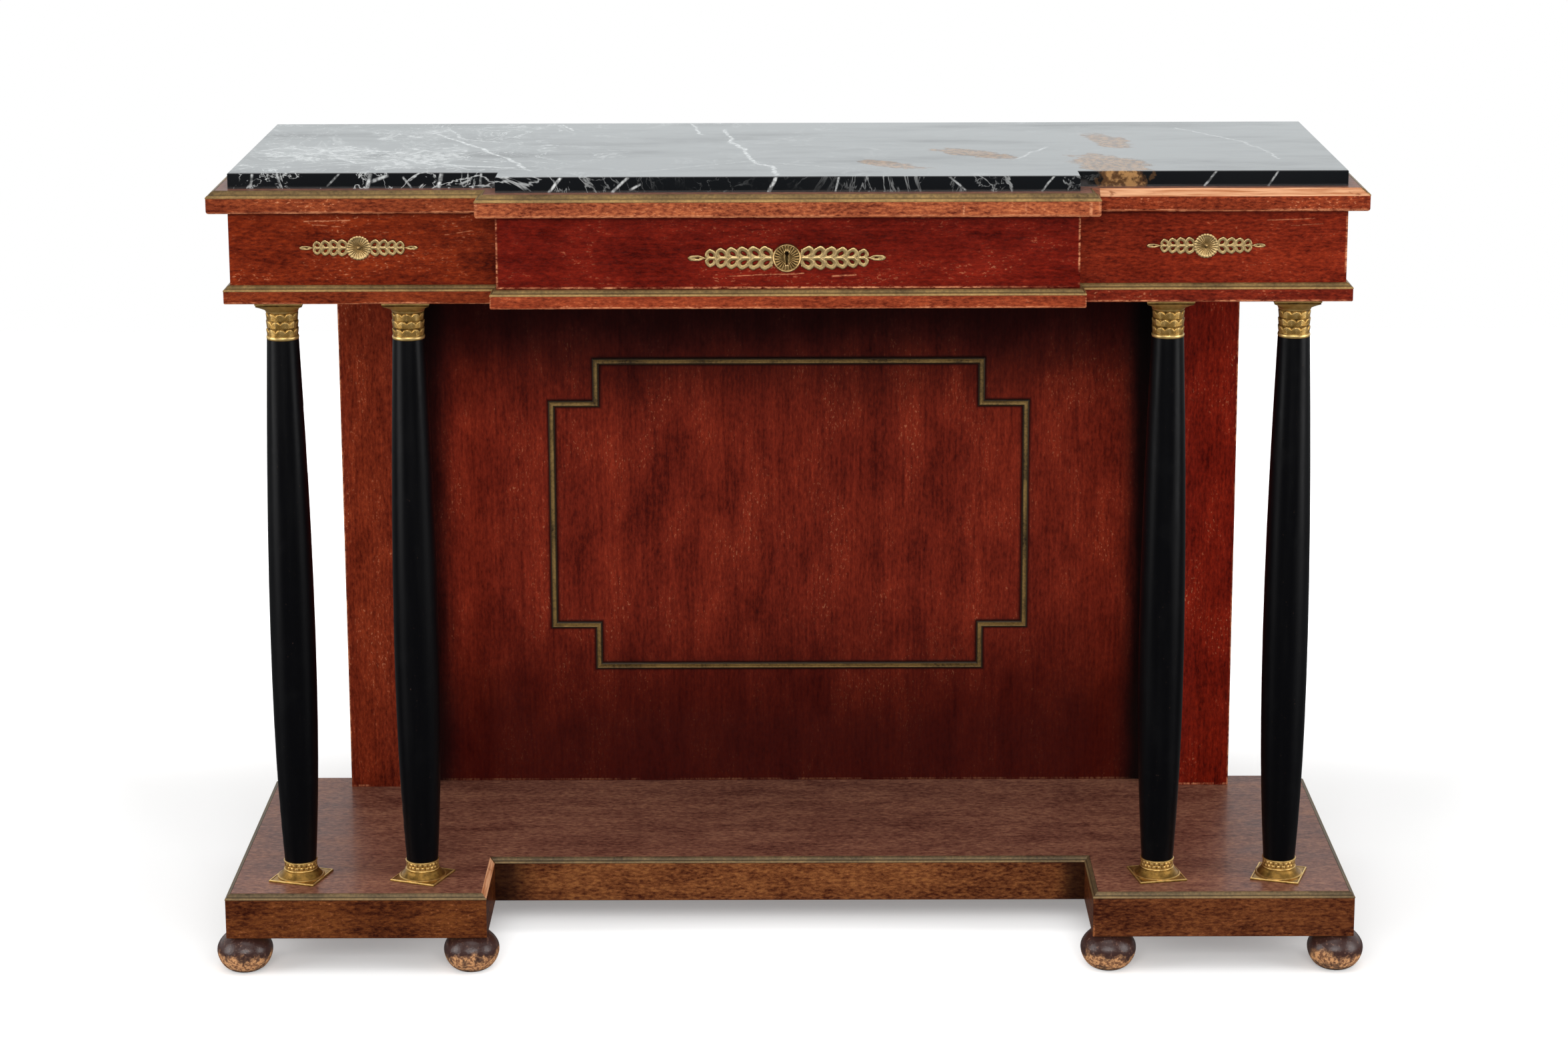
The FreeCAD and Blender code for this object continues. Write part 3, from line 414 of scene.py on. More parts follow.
@dataclass(frozen=True)
class NotchedBand:
    """A band along both sides of a notched strip on an upright board, in X and Z: painted shade beside the
    strip, and inverted, the strip's painted crest highlight.

    middle and half place the strip's middle line, and notch is the size of its missing corners.
    """

    middle: Point
    half: Point
    notch: Point
    width: float
    # The default tint and strength paint the shade along both sides of the strip.
    tint: Tint = rgb(24, 4, 2)
    strength: float = 0.85

    def amount(self, graph: Graph, x: Signal, z: Signal) -> Signal:
        """Return how strong the band is.

        Args:
            graph: not used.
            x, z: the place on the board.

        Returns:
            A share from 0 to 1.
        """
        aside, above = abs(x - self.middle[0]), abs(z - self.middle[1])
        wide = (aside - self.half[0]).most(above - (self.half[1] - self.notch[1]))
        tall = (aside - (self.half[0] - self.notch[0])).most(above - self.half[1])
        return abs(wide.least(tall)).ease(self.width, self.width * 0.5) * self.strength


@dataclass(frozen=True)
class Mahogany(Finish):
    """Old polished veneer: grain, pores, mottle, flecks of wear, rubbed edges and painted shade.

    Sizes are metres. rubbed_x and rubbed_z are the X and Z of edges that are worn pale.
    """

    tone: Tint
    grain: Grain = Grain.ALONG
    figure: float = 0.16
    streak: float = 0.26
    mottle: float = 0.75
    clouds: float = 0.42
    flecks: float = 0.45
    worn: Tint = rgb(202, 134, 94)
    roughness: float = 0.42
    coat: float = 0.15
    seed: float = 0.0
    rubbed_x: tuple[float, ...] = ()
    rubbed_z: tuple[float, ...] = ()
    rub_width: float = 0.0022
    scratches: tuple[Scratch, ...] = ()
    shades: tuple[Shade | NotchedBand, ...] = ()
    shine: ClassVar[Shine] = Shine(specular=0.05, coat_roughness=0.15)

    def lines(self, graph: Graph) -> Axes:
        """Return how far a point is along the grain, across it and into the board.

        Args:
            graph: where the nodes go.

        Returns:
            The three distances, in metres.
        """
        x, y, z = graph.axes()
        if self.grain is Grain.UPRIGHT:
            return z, x + y * 0.7, y
        nx, _, nz = graph.facing()
        end = abs(nx).ease(0.4, 0.6)
        level = abs(nz).ease(0.4, 0.6)
        return graph.blend(end, x, y), graph.blend(level, z, y), x * 0.13 + self.seed

    def paint(self, graph: Graph) -> Layer:
        """Add the nodes of the veneer.

        Args:
            graph: where they go.

        Returns:
            What the veneer gives at each point.
        """
        along, across, into = self.lines(graph)
        shift = self.seed * 3.7
        x, _, z = graph.axes()
        _, back, _ = graph.facing()

        def grain(run: float, width: float, octaves: float, rough: float, twist: float = 0.0) -> Signal:
            """Return noise about 0, drawn out along the grain.

            Args:
                run, width: features to the metre along the grain and across it.
                octaves: how many octaves it has.
                rough: how strong the finer ones are.
                twist: how far it is bent by itself.

            Returns:
                The noise.
            """
            place = graph.vector(along * run + shift, across * width, into)
            return graph.noise(place, 1.0, octaves, rough, twist) - 0.5

        bands = grain(1.6, 26.0, 3.0, 0.5, 0.25)
        streaks = grain(14.0, 260.0, 4.0, 0.6)
        mottle = grain(120.0, 300.0, 4.0, 0.72)
        pores = grain(110.0, 1300.0, 2.0, 0.5).ease(0.06, 0.2)
        cloud = grain(9.0, 20.0, 6.0, 0.66, 0.4)
        speck = grain(230.0, 430.0, 1.0, 0.5)
        tone = 0.5 + bands * self.figure + streaks * self.streak + mottle * self.mottle + cloud * self.clouds
        dark = scaled(self.tone, 0.30, 0.18, 0.20)
        light = scaled(self.tone, 1.8, 2.2, 2.0)
        colour = graph.ramp(tone, (0.31, dark), (0.5, self.tone), (0.70, light))
        colour = graph.mix(pores * 0.45, colour, dark)
        fleck = (speck + mottle * 0.5).ease(0.12, 0.26) * cloud.ease(-0.02, 0.16) * self.flecks
        front = back.ease(-0.3, -0.6)
        rub = self.rubbed(x, z) * front * mottle.ease(-0.14, 0.12) * cloud.ease(-0.12, 0.1)
        wear = fleck.most(rub)
        for scratch in self.scratches:
            line = graph.stroke(x, z + cloud * 0.008, scratch.start, scratch.end, scratch.width)
            wear = wear.most(line * scratch.strength * mottle.ease(-0.12, 0.08))
        colour = graph.mix(wear.least(1.0), colour, self.worn)
        not_back = back.ease(0.6, 0.3)
        # Painted shade: each shade or band darkens the colour, on every face but the back.
        for shade in self.shades:
            colour = graph.mix(shade.amount(graph, x, z) * not_back, colour, shade.tint)
        rough = self.roughness + cloud * 0.3 + wear * 0.25 + pores * 0.1
        height = mottle * 0.00007 - pores * 0.00005 + cloud * 0.0002
        return Layer(colour, rough.least(0.9), height, self.coat)

    def rubbed(self, x: Signal, z: Signal) -> Signal:
        """Return where the board's named edges are rubbed.

        Args:
            x, z: the place on the board.

        Returns:
            1 on a rubbed edge and 0 away from it.
        """
        mask = x * 0.0
        for axis, places in ((x, self.rubbed_x), (z, self.rubbed_z)):
            for place in places:
                mask = mask.most(abs(axis - place).ease(self.rub_width, self.rub_width * 0.3))
        return mask


@dataclass(frozen=True)
class BareWood(Finish):
    """Raw wood where a brass strip has come off, with old glue and nail holes."""

    pale: Tint = rgb(218, 164, 124)
    deep: Tint = rgb(172, 108, 70)
    glue: Tint = rgb(120, 62, 34)

    def paint(self, graph: Graph) -> Layer:
        """Add the nodes of the raw wood.

        Args:
            graph: where they go.

        Returns:
            What the wood gives at each point.
        """
        x, y, z = graph.axes()
        along = x + y
        streaks = graph.noise(graph.vector(along * 12.0, z * 420.0, 3.1), 1.0, 5.0, 0.6, 0.2)
        blots = graph.noise(graph.vector(along * 45.0, z * 90.0, 7.7), 1.0, 3.0, 0.6)
        colour = graph.mix(streaks.ease(0.38, 0.66), self.pale, self.deep)
        colour = graph.mix(blots.ease(0.62, 0.72) * 0.7, colour, self.glue)
        return Layer(colour, 0.8, (streaks - 0.5) * 0.0003)


@dataclass(frozen=True)
class PartBare(Finish):
    """A veneer that is raw wood in some place."""

    veneer: Mahogany
    where: Callable[[Graph], Signal]
    shine: ClassVar[Shine] = Shine(specular=0.12, coat_roughness=0.15)

    def paint(self, graph: Graph) -> Layer:
        """Lay the raw wood over the veneer."""
        return BareWood().paint(graph).over(graph, self.veneer.paint(graph), self.where(graph))


@dataclass(frozen=True)
class CarcaseWood(Finish):
    """Plain unpolished wood inside the carcase and the drawer."""

    pale: Tint = rgb(196, 152, 104)
    deep: Tint = rgb(140, 96, 58)
    grime: Tint = rgb(92, 62, 40)
    shine: ClassVar[Shine] = Shine(specular=0.3)

    def paint(self, graph: Graph) -> Layer:
        """Add the nodes of the plain wood.

        Args:
            graph: where they go.

        Returns:
            What the wood gives at each point.
        """
        x, y, z = graph.axes()
        rings = graph.noise(graph.vector(x * 6.0, y * 6.0, z * 60.0), 1.0, 5.0, 0.6, 0.6)
        fine = graph.noise(graph.vector(x * 40.0, y * 40.0, z * 700.0), 1.0, 3.0, 0.6)
        grime_and_shade = graph.noise(graph.vector(x, y, z), 9.0, 4.0, 0.6)
        colour = graph.mix(rings.ease(0.35, 0.68), self.pale, self.deep)
        colour = graph.mix(grime_and_shade.ease(0.5, 0.75) * 0.5, colour, self.grime)
        return Layer(colour, 0.7 + (fine - 0.5) * 0.2, (fine - 0.5) * 0.0002)


@dataclass(frozen=True)
class Vein:
    """A run of points in the marble, with a width and a strength."""

    points: tuple[Point, ...]
    width: float
    strength: float


@dataclass(frozen=True)
class Patch:
    """An oval patch in the marble: its middle, its half sizes and its turn in degrees."""

    middle: Point
    half: Point
    turn: float


@dataclass(frozen=True)
class Marble(Finish):
    """Black marble with white veins, grey clouds and golden-tan patches."""

    black: Tint = rgb(10, 12, 15)
    white: Tint = rgb(222, 225, 224)
    gold: Tint = rgb(160, 118, 70)
    umber: Tint = rgb(84, 54, 26)
    veins: tuple[Vein, ...] = ()
    face_veins: tuple[Vein, ...] = ()
    patches: tuple[Patch, ...] = ()
    clouds: tuple[Patch, ...] = ()
    shine: ClassVar[Shine] = Shine(coat_roughness=0.08)

    @staticmethod
    def ovals(x: Signal, y: Signal, patches: Sequence[Patch], ragged: Signal) -> Signal:
        """Return ragged oval patches.

        Args:
            x, y: the place on the slab.
            patches: where the ovals are.
            ragged: noise that breaks their edges.

        Returns:
            1 inside a patch and 0 outside.
        """
        mask = x * 0.0
        for patch in patches:
            turn = math.radians(patch.turn)
            dx, dy = x - patch.middle[0], y - patch.middle[1]
            u = (dx * math.cos(turn) + dy * math.sin(turn)) / patch.half[0]
            v = (dy * math.cos(turn) - dx * math.sin(turn)) / patch.half[1]
            reach = u * u + v * v
            mask = mask.most((reach + (ragged - 0.5) * 3.4).ease(1.15, 0.75))
        return mask

    def paint(self, graph: Graph) -> Layer:
        """Add the nodes of the marble.

        Args:
            graph: where they go.

        Returns:
            What the marble gives at each point.
        """
        x, y, z = graph.axes()
        place = graph.vector(x, y, z)
        ragged = graph.noise(place, 26.0, 5.0, 0.62)
        fine = graph.noise(place, 120.0, 4.0, 0.65)
        drift = (graph.noise(place, 11.0, 3.0, 0.55) - 0.5) * 0.05
        sway = (ragged - 0.5) * 0.018
        level = graph.facing()[2].ease(0.4, 0.6)
        upright = 1.0 - level
        left = x.ease(-0.15, -0.45)
        web = graph.noise(place, 5.5, 6.0, 0.6, 1.4)
        net = graph.noise(place, 13.0, 5.0, 0.62, 1.1)
        sparse = graph.noise(place, 3.1, 2.0).ease(0.46, 0.62)
        vein = abs(web - 0.5).ease(0.011, 0.0) * (sparse * 0.35 + left * 0.35)
        crackle = abs(net - 0.5).ease(0.014, 0.0) * fine.ease(0.36, 0.56)
        vein = vein.most(crackle * (left * (0.35 + level * 0.2) + upright * 0.25 * sparse))
        broken = 0.2 + fine.ease(0.38, 0.62) * 0.8
        for group, second, share, wander in (
            (self.veins, y, level, sway + drift * 0.5), (self.face_veins, z, upright, sway * 0.35),
        ):
            for run in group:
                for start, end in zip(run.points, run.points[1:]):
                    line = graph.stroke(x + wander, second, start, end, run.width)
                    vein = vein.most(line * share * run.strength * broken)
        wisps = self.ovals(x, y, self.clouds, ragged)
        wisps = wisps * (abs(net - 0.47).ease(0.09, 0.0) * 0.6 + 0.15) * fine.ease(0.3, 0.6)
        tan = self.ovals(x, y, self.patches, ragged)
        rust = abs(tan - 0.5).ease(0.5, 0.1)
        mottle = graph.mix(fine.ease(0.42, 0.6).most(rust * 0.8), self.gold, self.umber)
        colour = graph.mix(tan, self.black, mottle)
        colour = graph.mix(vein.most(wisps).least(1.0), colour, self.white)
        smear = graph.noise(graph.vector(x * 1.3, y * 4.0, z), 3.0, 4.0, 0.6).ease(0.4, 0.8)
        rough = 0.13 + smear * 0.12 + tan * 0.12
        coat = (0.45 - smear * 0.18 - left * 0.07) * (1.0 - tan * 0.75)
        return Layer(colour, rough, (fine - 0.5) * 0.00004, coat)


@dataclass(frozen=True)
class Ebony(Finish):
    """Black polished lacquer over a turned shaft, with specks and faint runs."""

    black: Tint = rgb(3, 3, 5)
    chip: Tint = rgb(110, 80, 66)
    shine: ClassVar[Shine] = Shine(specular=0.13)

    def paint(self, graph: Graph) -> Layer:
        """Add the nodes of the lacquer.

        Args:
            graph: where they go.

        Returns:
            What the lacquer gives at each point.
        """
        x, y, z = graph.axes()
        place = graph.vector(x, y, z)
        runs = graph.noise(graph.vector(x * 60.0, y * 60.0, z * 5.0), 1.0, 4.0, 0.6)
        speck = graph.noise(place, 420.0, 2.0, 0.6).ease(0.72, 0.79)
        dust = graph.noise(place, 30.0, 4.0, 0.6).ease(0.5, 0.8)
        colour = graph.mix(speck * 0.35, self.black, self.chip)
        rough = 0.34 + runs.ease(0.4, 0.7) * 0.12 + dust * 0.12 + speck * 0.3
        return Layer(colour, rough, (runs - 0.5) * 0.00012)


@dataclass(frozen=True)
class GiltBronze(Finish):
    """Gilt bronze, rubbed bright on what stands proud and brown in the hollows.

    The mesh's relief attribute is 0 in a hollow and 1 on a crest.
    """

    bright: Tint = rgb(240, 204, 132)
    gold: Tint = rgb(172, 130, 62)
    brown: Tint = rgb(54, 36, 14)
    roughness: float = 0.38
    shine: ClassVar[Shine] = Shine(metallic=0.88)

    def paint(self, graph: Graph) -> Layer:
        """Add the nodes of the gilding.

        Args:
            graph: where they go.

        Returns:
            What the gilding gives at each point.
        """
        place = graph.place()
        blotch = graph.noise(place, 160.0, 4.0, 0.6)
        fine = graph.noise(place, 900.0, 3.0, 0.6)
        crest = graph.node("Attribute", {"attribute_name": RELIEF}, output="Fac") + (blotch - 0.5) * 0.55
        colour = graph.ramp(crest, (0.14, self.brown), (0.48, self.gold), (0.95, self.bright))
        rough = self.roughness + (blotch - 0.5) * 0.3 + (fine - 0.5) * 0.15
        return Layer(colour, rough.most(0.12), (fine - 0.5) * 0.00012)


@dataclass(frozen=True)
class StripBrass(Finish):
    """Dull olive brass in drawn mouldings, tarnished in patches.

    Over the level of the groove it is duller than under it, and a painted shade line darkens the groove.
    Where a crest is given, the metal is bright on that line alone as a painted highlight, with painted shade
    to each side.
    """

    bright: Tint = rgb(172, 138, 84)
    olive: Tint = rgb(126, 101, 62)
    dark: Tint = rgb(80, 62, 38)
    groove: float = 0.0
    blur: float = 0.0008
    crest: NotchedBand | None = None
    shine: ClassVar[Shine] = Shine(metallic=0.45, specular=0.3)

    def paint(self, graph: Graph) -> Layer:
        """Add the nodes of the brass.

        Args:
            graph: where they go.

        Returns:
            What the brass gives at each point.
        """
        x, y, z = graph.axes()
        place = graph.vector(x, y, z)
        cloud = graph.noise(place, 16.0, 5.0, 0.6)
        fine = graph.noise(place, 240.0, 3.0, 0.6)
        lower = z.ease(self.groove + self.blur, self.groove - self.blur)
        tone = 0.5 + (cloud - 0.5) * 0.55 + (fine - 0.5) * 0.35 + lower * 0.10 - 0.03
        colour = graph.ramp(tone, (0.34, self.dark), (0.5, self.olive), (0.68, self.bright))
        # With a crest: a painted highlight on the crest line and painted shade beside it. Without one: a
        # painted shade line in the groove.
        if self.crest:
            line = 1.0 - self.crest.amount(graph, x, z)
        else:
            line = abs(z - self.groove).ease(self.blur, self.blur * 0.3) * 0.7
        colour = graph.mix(line, colour, self.dark)
        return Layer(colour, 0.46 + (cloud - 0.5) * 0.3, (fine - 0.5) * 0.00012)


@dataclass(frozen=True)
class FootLacquer(Finish):
    """Dark brown lacquer on a bun foot, worn through to tan wood below its widest part."""

    lacquer: Tint = rgb(56, 32, 27)
    rubbed: Tint = rgb(132, 98, 80)
    tan: Tint = rgb(196, 142, 92)
    bare: Tint = rgb(112, 70, 42)
    stain: Tint = rgb(52, 32, 24)
    sole: Tint = rgb(30, 20, 14)
    worn_below: float = 0.024
    blur: float = 0.004

    def paint(self, graph: Graph) -> Layer:
        """Add the nodes of the worn lacquer.

        Args:
            graph: where they go.

        Returns:
            What the foot gives at each point.
        """
        x, y, z = graph.axes()
        place = graph.vector(x, y, z)
        cloud = graph.noise(place, 55.0, 5.0, 0.65)
        fine = graph.noise(place, 260.0, 4.0, 0.65)
        sway = graph.noise(place, 22.0, 3.0, 0.6)
        level = z + (cloud - 0.5) * 0.03 + (sway - 0.5) * 0.045
        edge = level.ease(self.worn_below + self.blur, self.worn_below - self.blur)
        wood = graph.mix(fine.ease(0.42, 0.58), self.tan, self.bare)
        wood = graph.mix(cloud.ease(0.5, 0.62) * 0.75, wood, self.stain)
        wood = graph.mix(z.ease(0.009, 0.001) * 0.85, wood, self.sole)
        top = graph.mix(fine.ease(0.56, 0.7) * 0.6, self.lacquer, self.rubbed)
        rough = 0.3 + edge * 0.35 + (cloud - 0.5) * 0.2
        return Layer(graph.mix(edge, top, wood), rough, (fine - 0.5) * 0.0004)


@dataclass(frozen=True)
class LockMetal(Finish):
    """Plain old metal of the lock: brass case or iron bolt."""

    tint: Tint
    stain: Tint
    shine: ClassVar[Shine] = Shine(metallic=0.9)

    def paint(self, graph: Graph) -> Layer:
        """Add the nodes of the metal.

        Args:
            graph: where they go.

        Returns:
            What the metal gives at each point.
        """
        place = graph.place()
        cloud = graph.noise(place, 70.0, 5.0, 0.65)
        brushed = graph.noise(place, 700.0, 2.0, 0.5)
        colour = graph.mix(cloud.ease(0.42, 0.66), self.tint, self.stain)
        return Layer(colour, 0.34 + cloud.ease(0.4, 0.7) * 0.3, (brushed - 0.5) * 0.00015)


# ------------------------------------------------------------------ curves and meshes

def polar(radius: float, angle: float, height: float) -> Vector:
    """Return a point from its distance from Z, its angle and its height."""
    return Vector((radius * math.cos(angle), radius * math.sin(angle), height))


def ease(value: float, low: float, high: float) -> float:
    """Rise smoothly from 0 at low to 1 at high."""
    share = min(max((value - low) / (high - low), 0.0), 1.0)
    return share * share * (3 - 2 * share)


def bell(value: float, middle: float, width: float) -> float:
    """Return a bell curve that is 1 in its middle."""
    return math.exp(-((value - middle) / width) ** 2)


def curve_between(points: Sequence[Point], count: int) -> list[Point]:
    """Return a smooth run of points through the given ones.

    Args:
        points: what it passes.
        count: how many steps between each pair.

    Returns:
        The finer run.
    """
    ends = [points[0], *points, points[-1]]
    finer = []
    for a, b, c, d in zip(ends, ends[1:], ends[2:], ends[3:]):
        for i in range(count):
            t = i / count
            finer.append(tuple(
                0.5 * (
                    2 * q + (r - p) * t + (2 * p - 5 * q + 4 * r - s) * t * t
                    + (3 * q - p - 3 * r + s) * t ** 3
                )
                for p, q, r, s in zip(a, b, c, d)
            ))
    finer.append(points[-1])
    return finer


@dataclass
class Form:
    """Points, faces and relief gathered for one mesh, in the table's frame."""

    points: list[Vector] = field(default_factory=list)
    faces: list[tuple[int, ...]] = field(default_factory=list)
    relief: list[float] = field(default_factory=list)

    def add(self, point: Vector, relief: float = 0.6) -> int:
        """Add a point.

        Args:
            point: where it is.
            relief: 0 in a hollow and 1 on a crest.

        Returns:
            The point's number.
        """
        self.points.append(point)
        self.relief.append(relief)
        return len(self.points) - 1

    def circle(self, radius: float, height: float, count: int, relief: float) -> list[int]:
        """Add a level circle about Z and return the numbers of its points."""
        return [self.add(polar(radius, math.tau * i / count, height), relief) for i in range(count)]

    def skin(self, rows: Sequence[Sequence[int]], closed: bool = True) -> None:
        """Join rows of the same number of points with four-sided faces.

        Args:
            rows: the numbers of the points, row by row.
            closed: whether each row closes on itself.
        """
        for low, high in zip(rows, rows[1:]):
            count = len(low)
            for i in range(count if closed else count - 1):
                j = (i + 1) % count
                self.faces.append((low[i], low[j], high[j], high[i]))

    def cap(self, row: Sequence[int], point: Vector, relief: float = 0.6, outward: bool = True) -> None:
        """Close a row with a fan to one point.

        Args:
            row: the numbers of the row's points.
            point: the middle of the fan.
            relief: the relief there.
            outward: whether the fan follows the row's own direction.
        """
        middle = self.add(point, relief)
        for i, first in enumerate(row):
            second = row[(i + 1) % len(row)]
            self.faces.append((first, second, middle) if outward else (second, first, middle))

    def move(self, matrix: Matrix, start: int = 0) -> None:
        """Move the points from a number on."""
        self.points[start:] = [matrix @ point for point in self.points[start:]]

    def make(self, name: str, material: bpy.types.Material, smooth: float = 35.0) -> bpy.types.Object:
        """Turn what is gathered into an object.

        Args:
            name: the object's name.
            material: its finish.
            smooth: the angle in degrees over which an edge stays sharp.

        Returns:
            The object, linked to the scene.
        """
        mesh = bpy.data.meshes.new(name)
        mesh.from_pydata(self.points, [], self.faces)
        mesh.validate()
        mesh.attributes.new(RELIEF, "FLOAT", "POINT").data.foreach_set("value", self.relief)
        mesh.materials.append(material)
        piece = bpy.data.objects.new(name, mesh)
        bpy.context.scene.collection.objects.link(piece)
        mesh.polygons.foreach_set("use_smooth", [True] * len(mesh.polygons))
        mesh.set_sharp_from_angle(angle=math.radians(smooth))
        mesh.update()
        return piece


@dataclass
class Turning:
    """A turned form about Z, whose radius may vary round it.

    Sizes are metres. outline is a row of (radius, height) from the bottom up.
    """

    outline: Sequence[Point]
    segments: int

    def rows(self, form: Form, shape: Callable[[float, float, float], Point]) -> list[list[int]]:
        """Add the rows of points.

        Args:
            form: where they go.
            shape: from radius, height and angle to the real radius and the relief.

        Returns:
            The numbers of the points, row by row.
        """
        rows = []
        for radius, height in self.outline:
            row = []
            for i in range(self.segments):
                angle = math.tau * i / self.segments
                real, relief = shape(radius, height, angle)
                row.append(form.add(polar(real, angle, height), relief))
            rows.append(row)
        form.skin(rows)
        return rows


def dress(material: bpy.types.Material, *nodes: str) -> None:
    """Give CAD nodes their finish.

    Args:
        material: the finish.
        nodes: the names of the nodes.
    """
    for node in nodes:
        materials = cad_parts[node].data.materials
        materials.clear()
        materials.append(material)


def seat(piece: bpy.types.Object, body: str, slot: str, *nodes: str) -> None:
    """Let a new piece ride on a body and stand for CAD nodes.

    Args:
        piece: the new piece.
        body: the body that carries it.
        slot: not used.
        nodes: the CAD nodes that it replaces.
    """
    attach(piece, body)
    if nodes:
        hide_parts(*nodes)
    LOG.info("%s on %s, %d faces", piece.name, body, len(piece.data.polygons))


# ------------------------------------------------------------------ columns

@dataclass
class ColumnFittings:
    """A capital and a base of gilt bronze on one column.

    Sizes are metres. turn is the turn of the base in degrees. hollow is the radius of the
    hollow flare and its rise over the lip, and hollow_top its radius and its drop under the
    collar. steps is the number of rows in the capital's ring, its leaves and its bell.
    """

    name: str
    turn: float
    plate: float = 0.0635
    plate_thickness: float = 0.0027
    flare: float = 0.0305
    lip: float = 0.0014
    hollow: tuple[Point, ...] = ((0.0269, 0.0018), (0.0249, 0.0042))
    hollow_top: tuple[Point, ...] = ((0.0234, 0.0018), (0.0225, 0.0006), (0.0216, 0.0))
    hollow_steps: int = 5
    collar: float = 0.0212
    collar_height: float = 0.0130
    collar_bottom: float = 0.0123
    collar_ring: float = 0.16
    collar_sink: float = 0.0004
    collar_swell: float = 0.0013
    collar_leaf: float = 0.0006
    collar_notch: float = 0.0002
    collar_leaves: int = 20
    collar_steps: int = 40
    base_segments: int = 140
    abacus: float = 0.0605
    abacus_thickness: float = 0.0064
    abacus_hollow: float = 0.0012
    abacus_steps: int = 12
    bell_height: float = 0.0105
    bell_lip: float = 0.0004
    capital: float = 0.0208
    capital_segments: int = 160
    ring_height: float = 0.0050
    ring_swell: float = 0.0006
    tier_step: float = 0.0016
    carving: float = 0.00025
    tiers: int = 3
    leaves: int = 10
    steps: tuple[int, int, int] = (8, 72, 14)
    bore: float = 0.0082

    def build(self, gilding: bpy.types.Material) -> None:
        """Make the capital and the base and seat them."""
        self._capital(gilding)
        self._base(gilding)

    def _place(self, node: str, turn: float) -> Matrix:
        """Return where a node of this column stands.

        Args:
            node: the CAD node.
            turn: its turn in degrees.

        Returns:
            The place and the turn.
        """
        low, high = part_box(node)
        middle = (low + high) / 2
        spot = Matrix.Translation((middle.x, middle.y, low.z))
        return spot @ Matrix.Rotation(math.radians(turn), 4, "Z")

    def _square(self, angle: float) -> float:
        """Return the distance from the middle of the abacus to its hollowed side.

        Args:
            angle: the direction.

        Returns:
            The distance.
        """
        reach = self.abacus / 2 / max(abs(math.cos(angle)), abs(math.sin(angle)))
        corner = (reach * 2 / self.abacus - 1) / (math.sqrt(2) - 1)
        return reach - self.abacus_hollow * (1 - corner)

    def _capital(self, gilding: bpy.types.Material) -> None:
        """Make the capital: a ring, tiers of leaves, a hollow bell and an abacus.

        Args:
            gilding: the finish.
        """
        node = f"column_{self.name}_capital"
        low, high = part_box(node)
        height = high.z - low.z
        bell_top = height - self.abacus_thickness
        bell_bottom = bell_top - self.bell_height
        leafy = bell_bottom - self.ring_height
        tier = leafy / self.tiers
        ring_steps, leaf_steps, bell_steps = self.steps
        heights = [self.ring_height * i / ring_steps for i in range(ring_steps)]
        heights += [self.ring_height + leafy * i / leaf_steps for i in range(leaf_steps)]
        heights += [bell_bottom + self.bell_height * i / bell_steps for i in range(bell_steps + 1)]

        def shape(radius: float, z: float, angle: float) -> Point:
            """Return the radius and relief at a height and an angle.

            Args:
                radius, z: the place on the outline.
                angle: the direction.

            Returns:
                The radius and the relief.
            """
            if z < self.ring_height:
                swell = math.sin(math.pi * z / self.ring_height)
                return radius - self.ring_swell + self.ring_swell * swell, 0.5 + 0.5 * swell
            if z >= bell_bottom:
                share = (z - bell_bottom) / self.bell_height
                lip = bell(share, 0.08, 0.08)
                spread = share ** 1.5 * (self._square(angle) * 0.985 - radius)
                return radius - self.bell_lip + spread + self.bell_lip * lip, 0.5 + 0.35 * lip + 0.25 * share
            level = (z - self.ring_height) / tier
            which = int(min(level, self.tiers - 1e-6))
            share = level - which
            phase = self.leaves * (angle / math.tau) + 0.5 * which
            across = abs((phase % 1.0) - 0.5) * 2
            tip = 0.97 - 0.42 * across ** 2.2
            leaf = 1.0 - ease(share, tip - 0.20, tip + 0.06)
            flare = 0.25 + 0.75 * share ** 1.5
            rib = bell(across, 0.0, 0.16)
            veins = 0.5 + 0.5 * math.cos(math.tau * (3.2 * share + 2.6 * across))
            rim = bell(share, tip - 0.07, 0.05)
            depth = self.tier_step * (leaf * flare + (1 - leaf) * 0.15)
            fine = self.carving * leaf * (rib + 0.9 * veins + 1.4 * rim)
            relief = 0.26 + leaf * (
                0.16 + 0.32 * share ** 1.5 + 0.18 * rim + 0.12 * rib + 0.16 * veins
            )
            return radius - self.tier_step + depth + fine, relief

        form = Form()
        turning = Turning([(self.capital, z) for z in heights], self.capital_segments)
        rows = turning.rows(form, shape)
        form.skin([form.circle(self.bore, 0.0, self.capital_segments, 0.1), rows[0]])
        self._abacus(form, bell_top, height)
        form.move(self._place(node, 0.0))
        seat(form.make(f"capital_{self.name}", gilding, 50.0), "carcase", "gilt_bronze", node)

    def _abacus(self, form: Form, bottom: float, top: float) -> None:
        """Add the square plate with hollowed sides and pointed corners.

        Args:
            form: where it goes.
            bottom, top: the heights of its two faces.
        """
        half = self.abacus / 2
        rim = []
        for side in range(4):
            cos, sin = math.cos(math.pi / 2 * side), math.sin(math.pi / 2 * side)
            for i in range(self.abacus_steps):
                share = i / self.abacus_steps * 2 - 1
                x, y = half - self.abacus_hollow * (1 - share * share), share * half
                rim.append((x * cos - y * sin, x * sin + y * cos))
        third = (top - bottom) / 3
        levels = (
            (0.965, bottom, 0.1), (0.965, bottom + third * 0.8, 0.4),
            (1.0, bottom + third * 1.1, 0.8), (1.0, top - 0.0003, 0.8), (0.99, top, 0.6),
        )
        rows = [[form.add(Vector((x * k, y * k, z)), relief) for x, y in rim] for k, z, relief in levels]
        form.skin(rows)
        form.cap(rows[0], Vector((0, 0, bottom)), 0.1, outward=False)
        form.cap(rows[-1], Vector((0, 0, top)), 0.5)

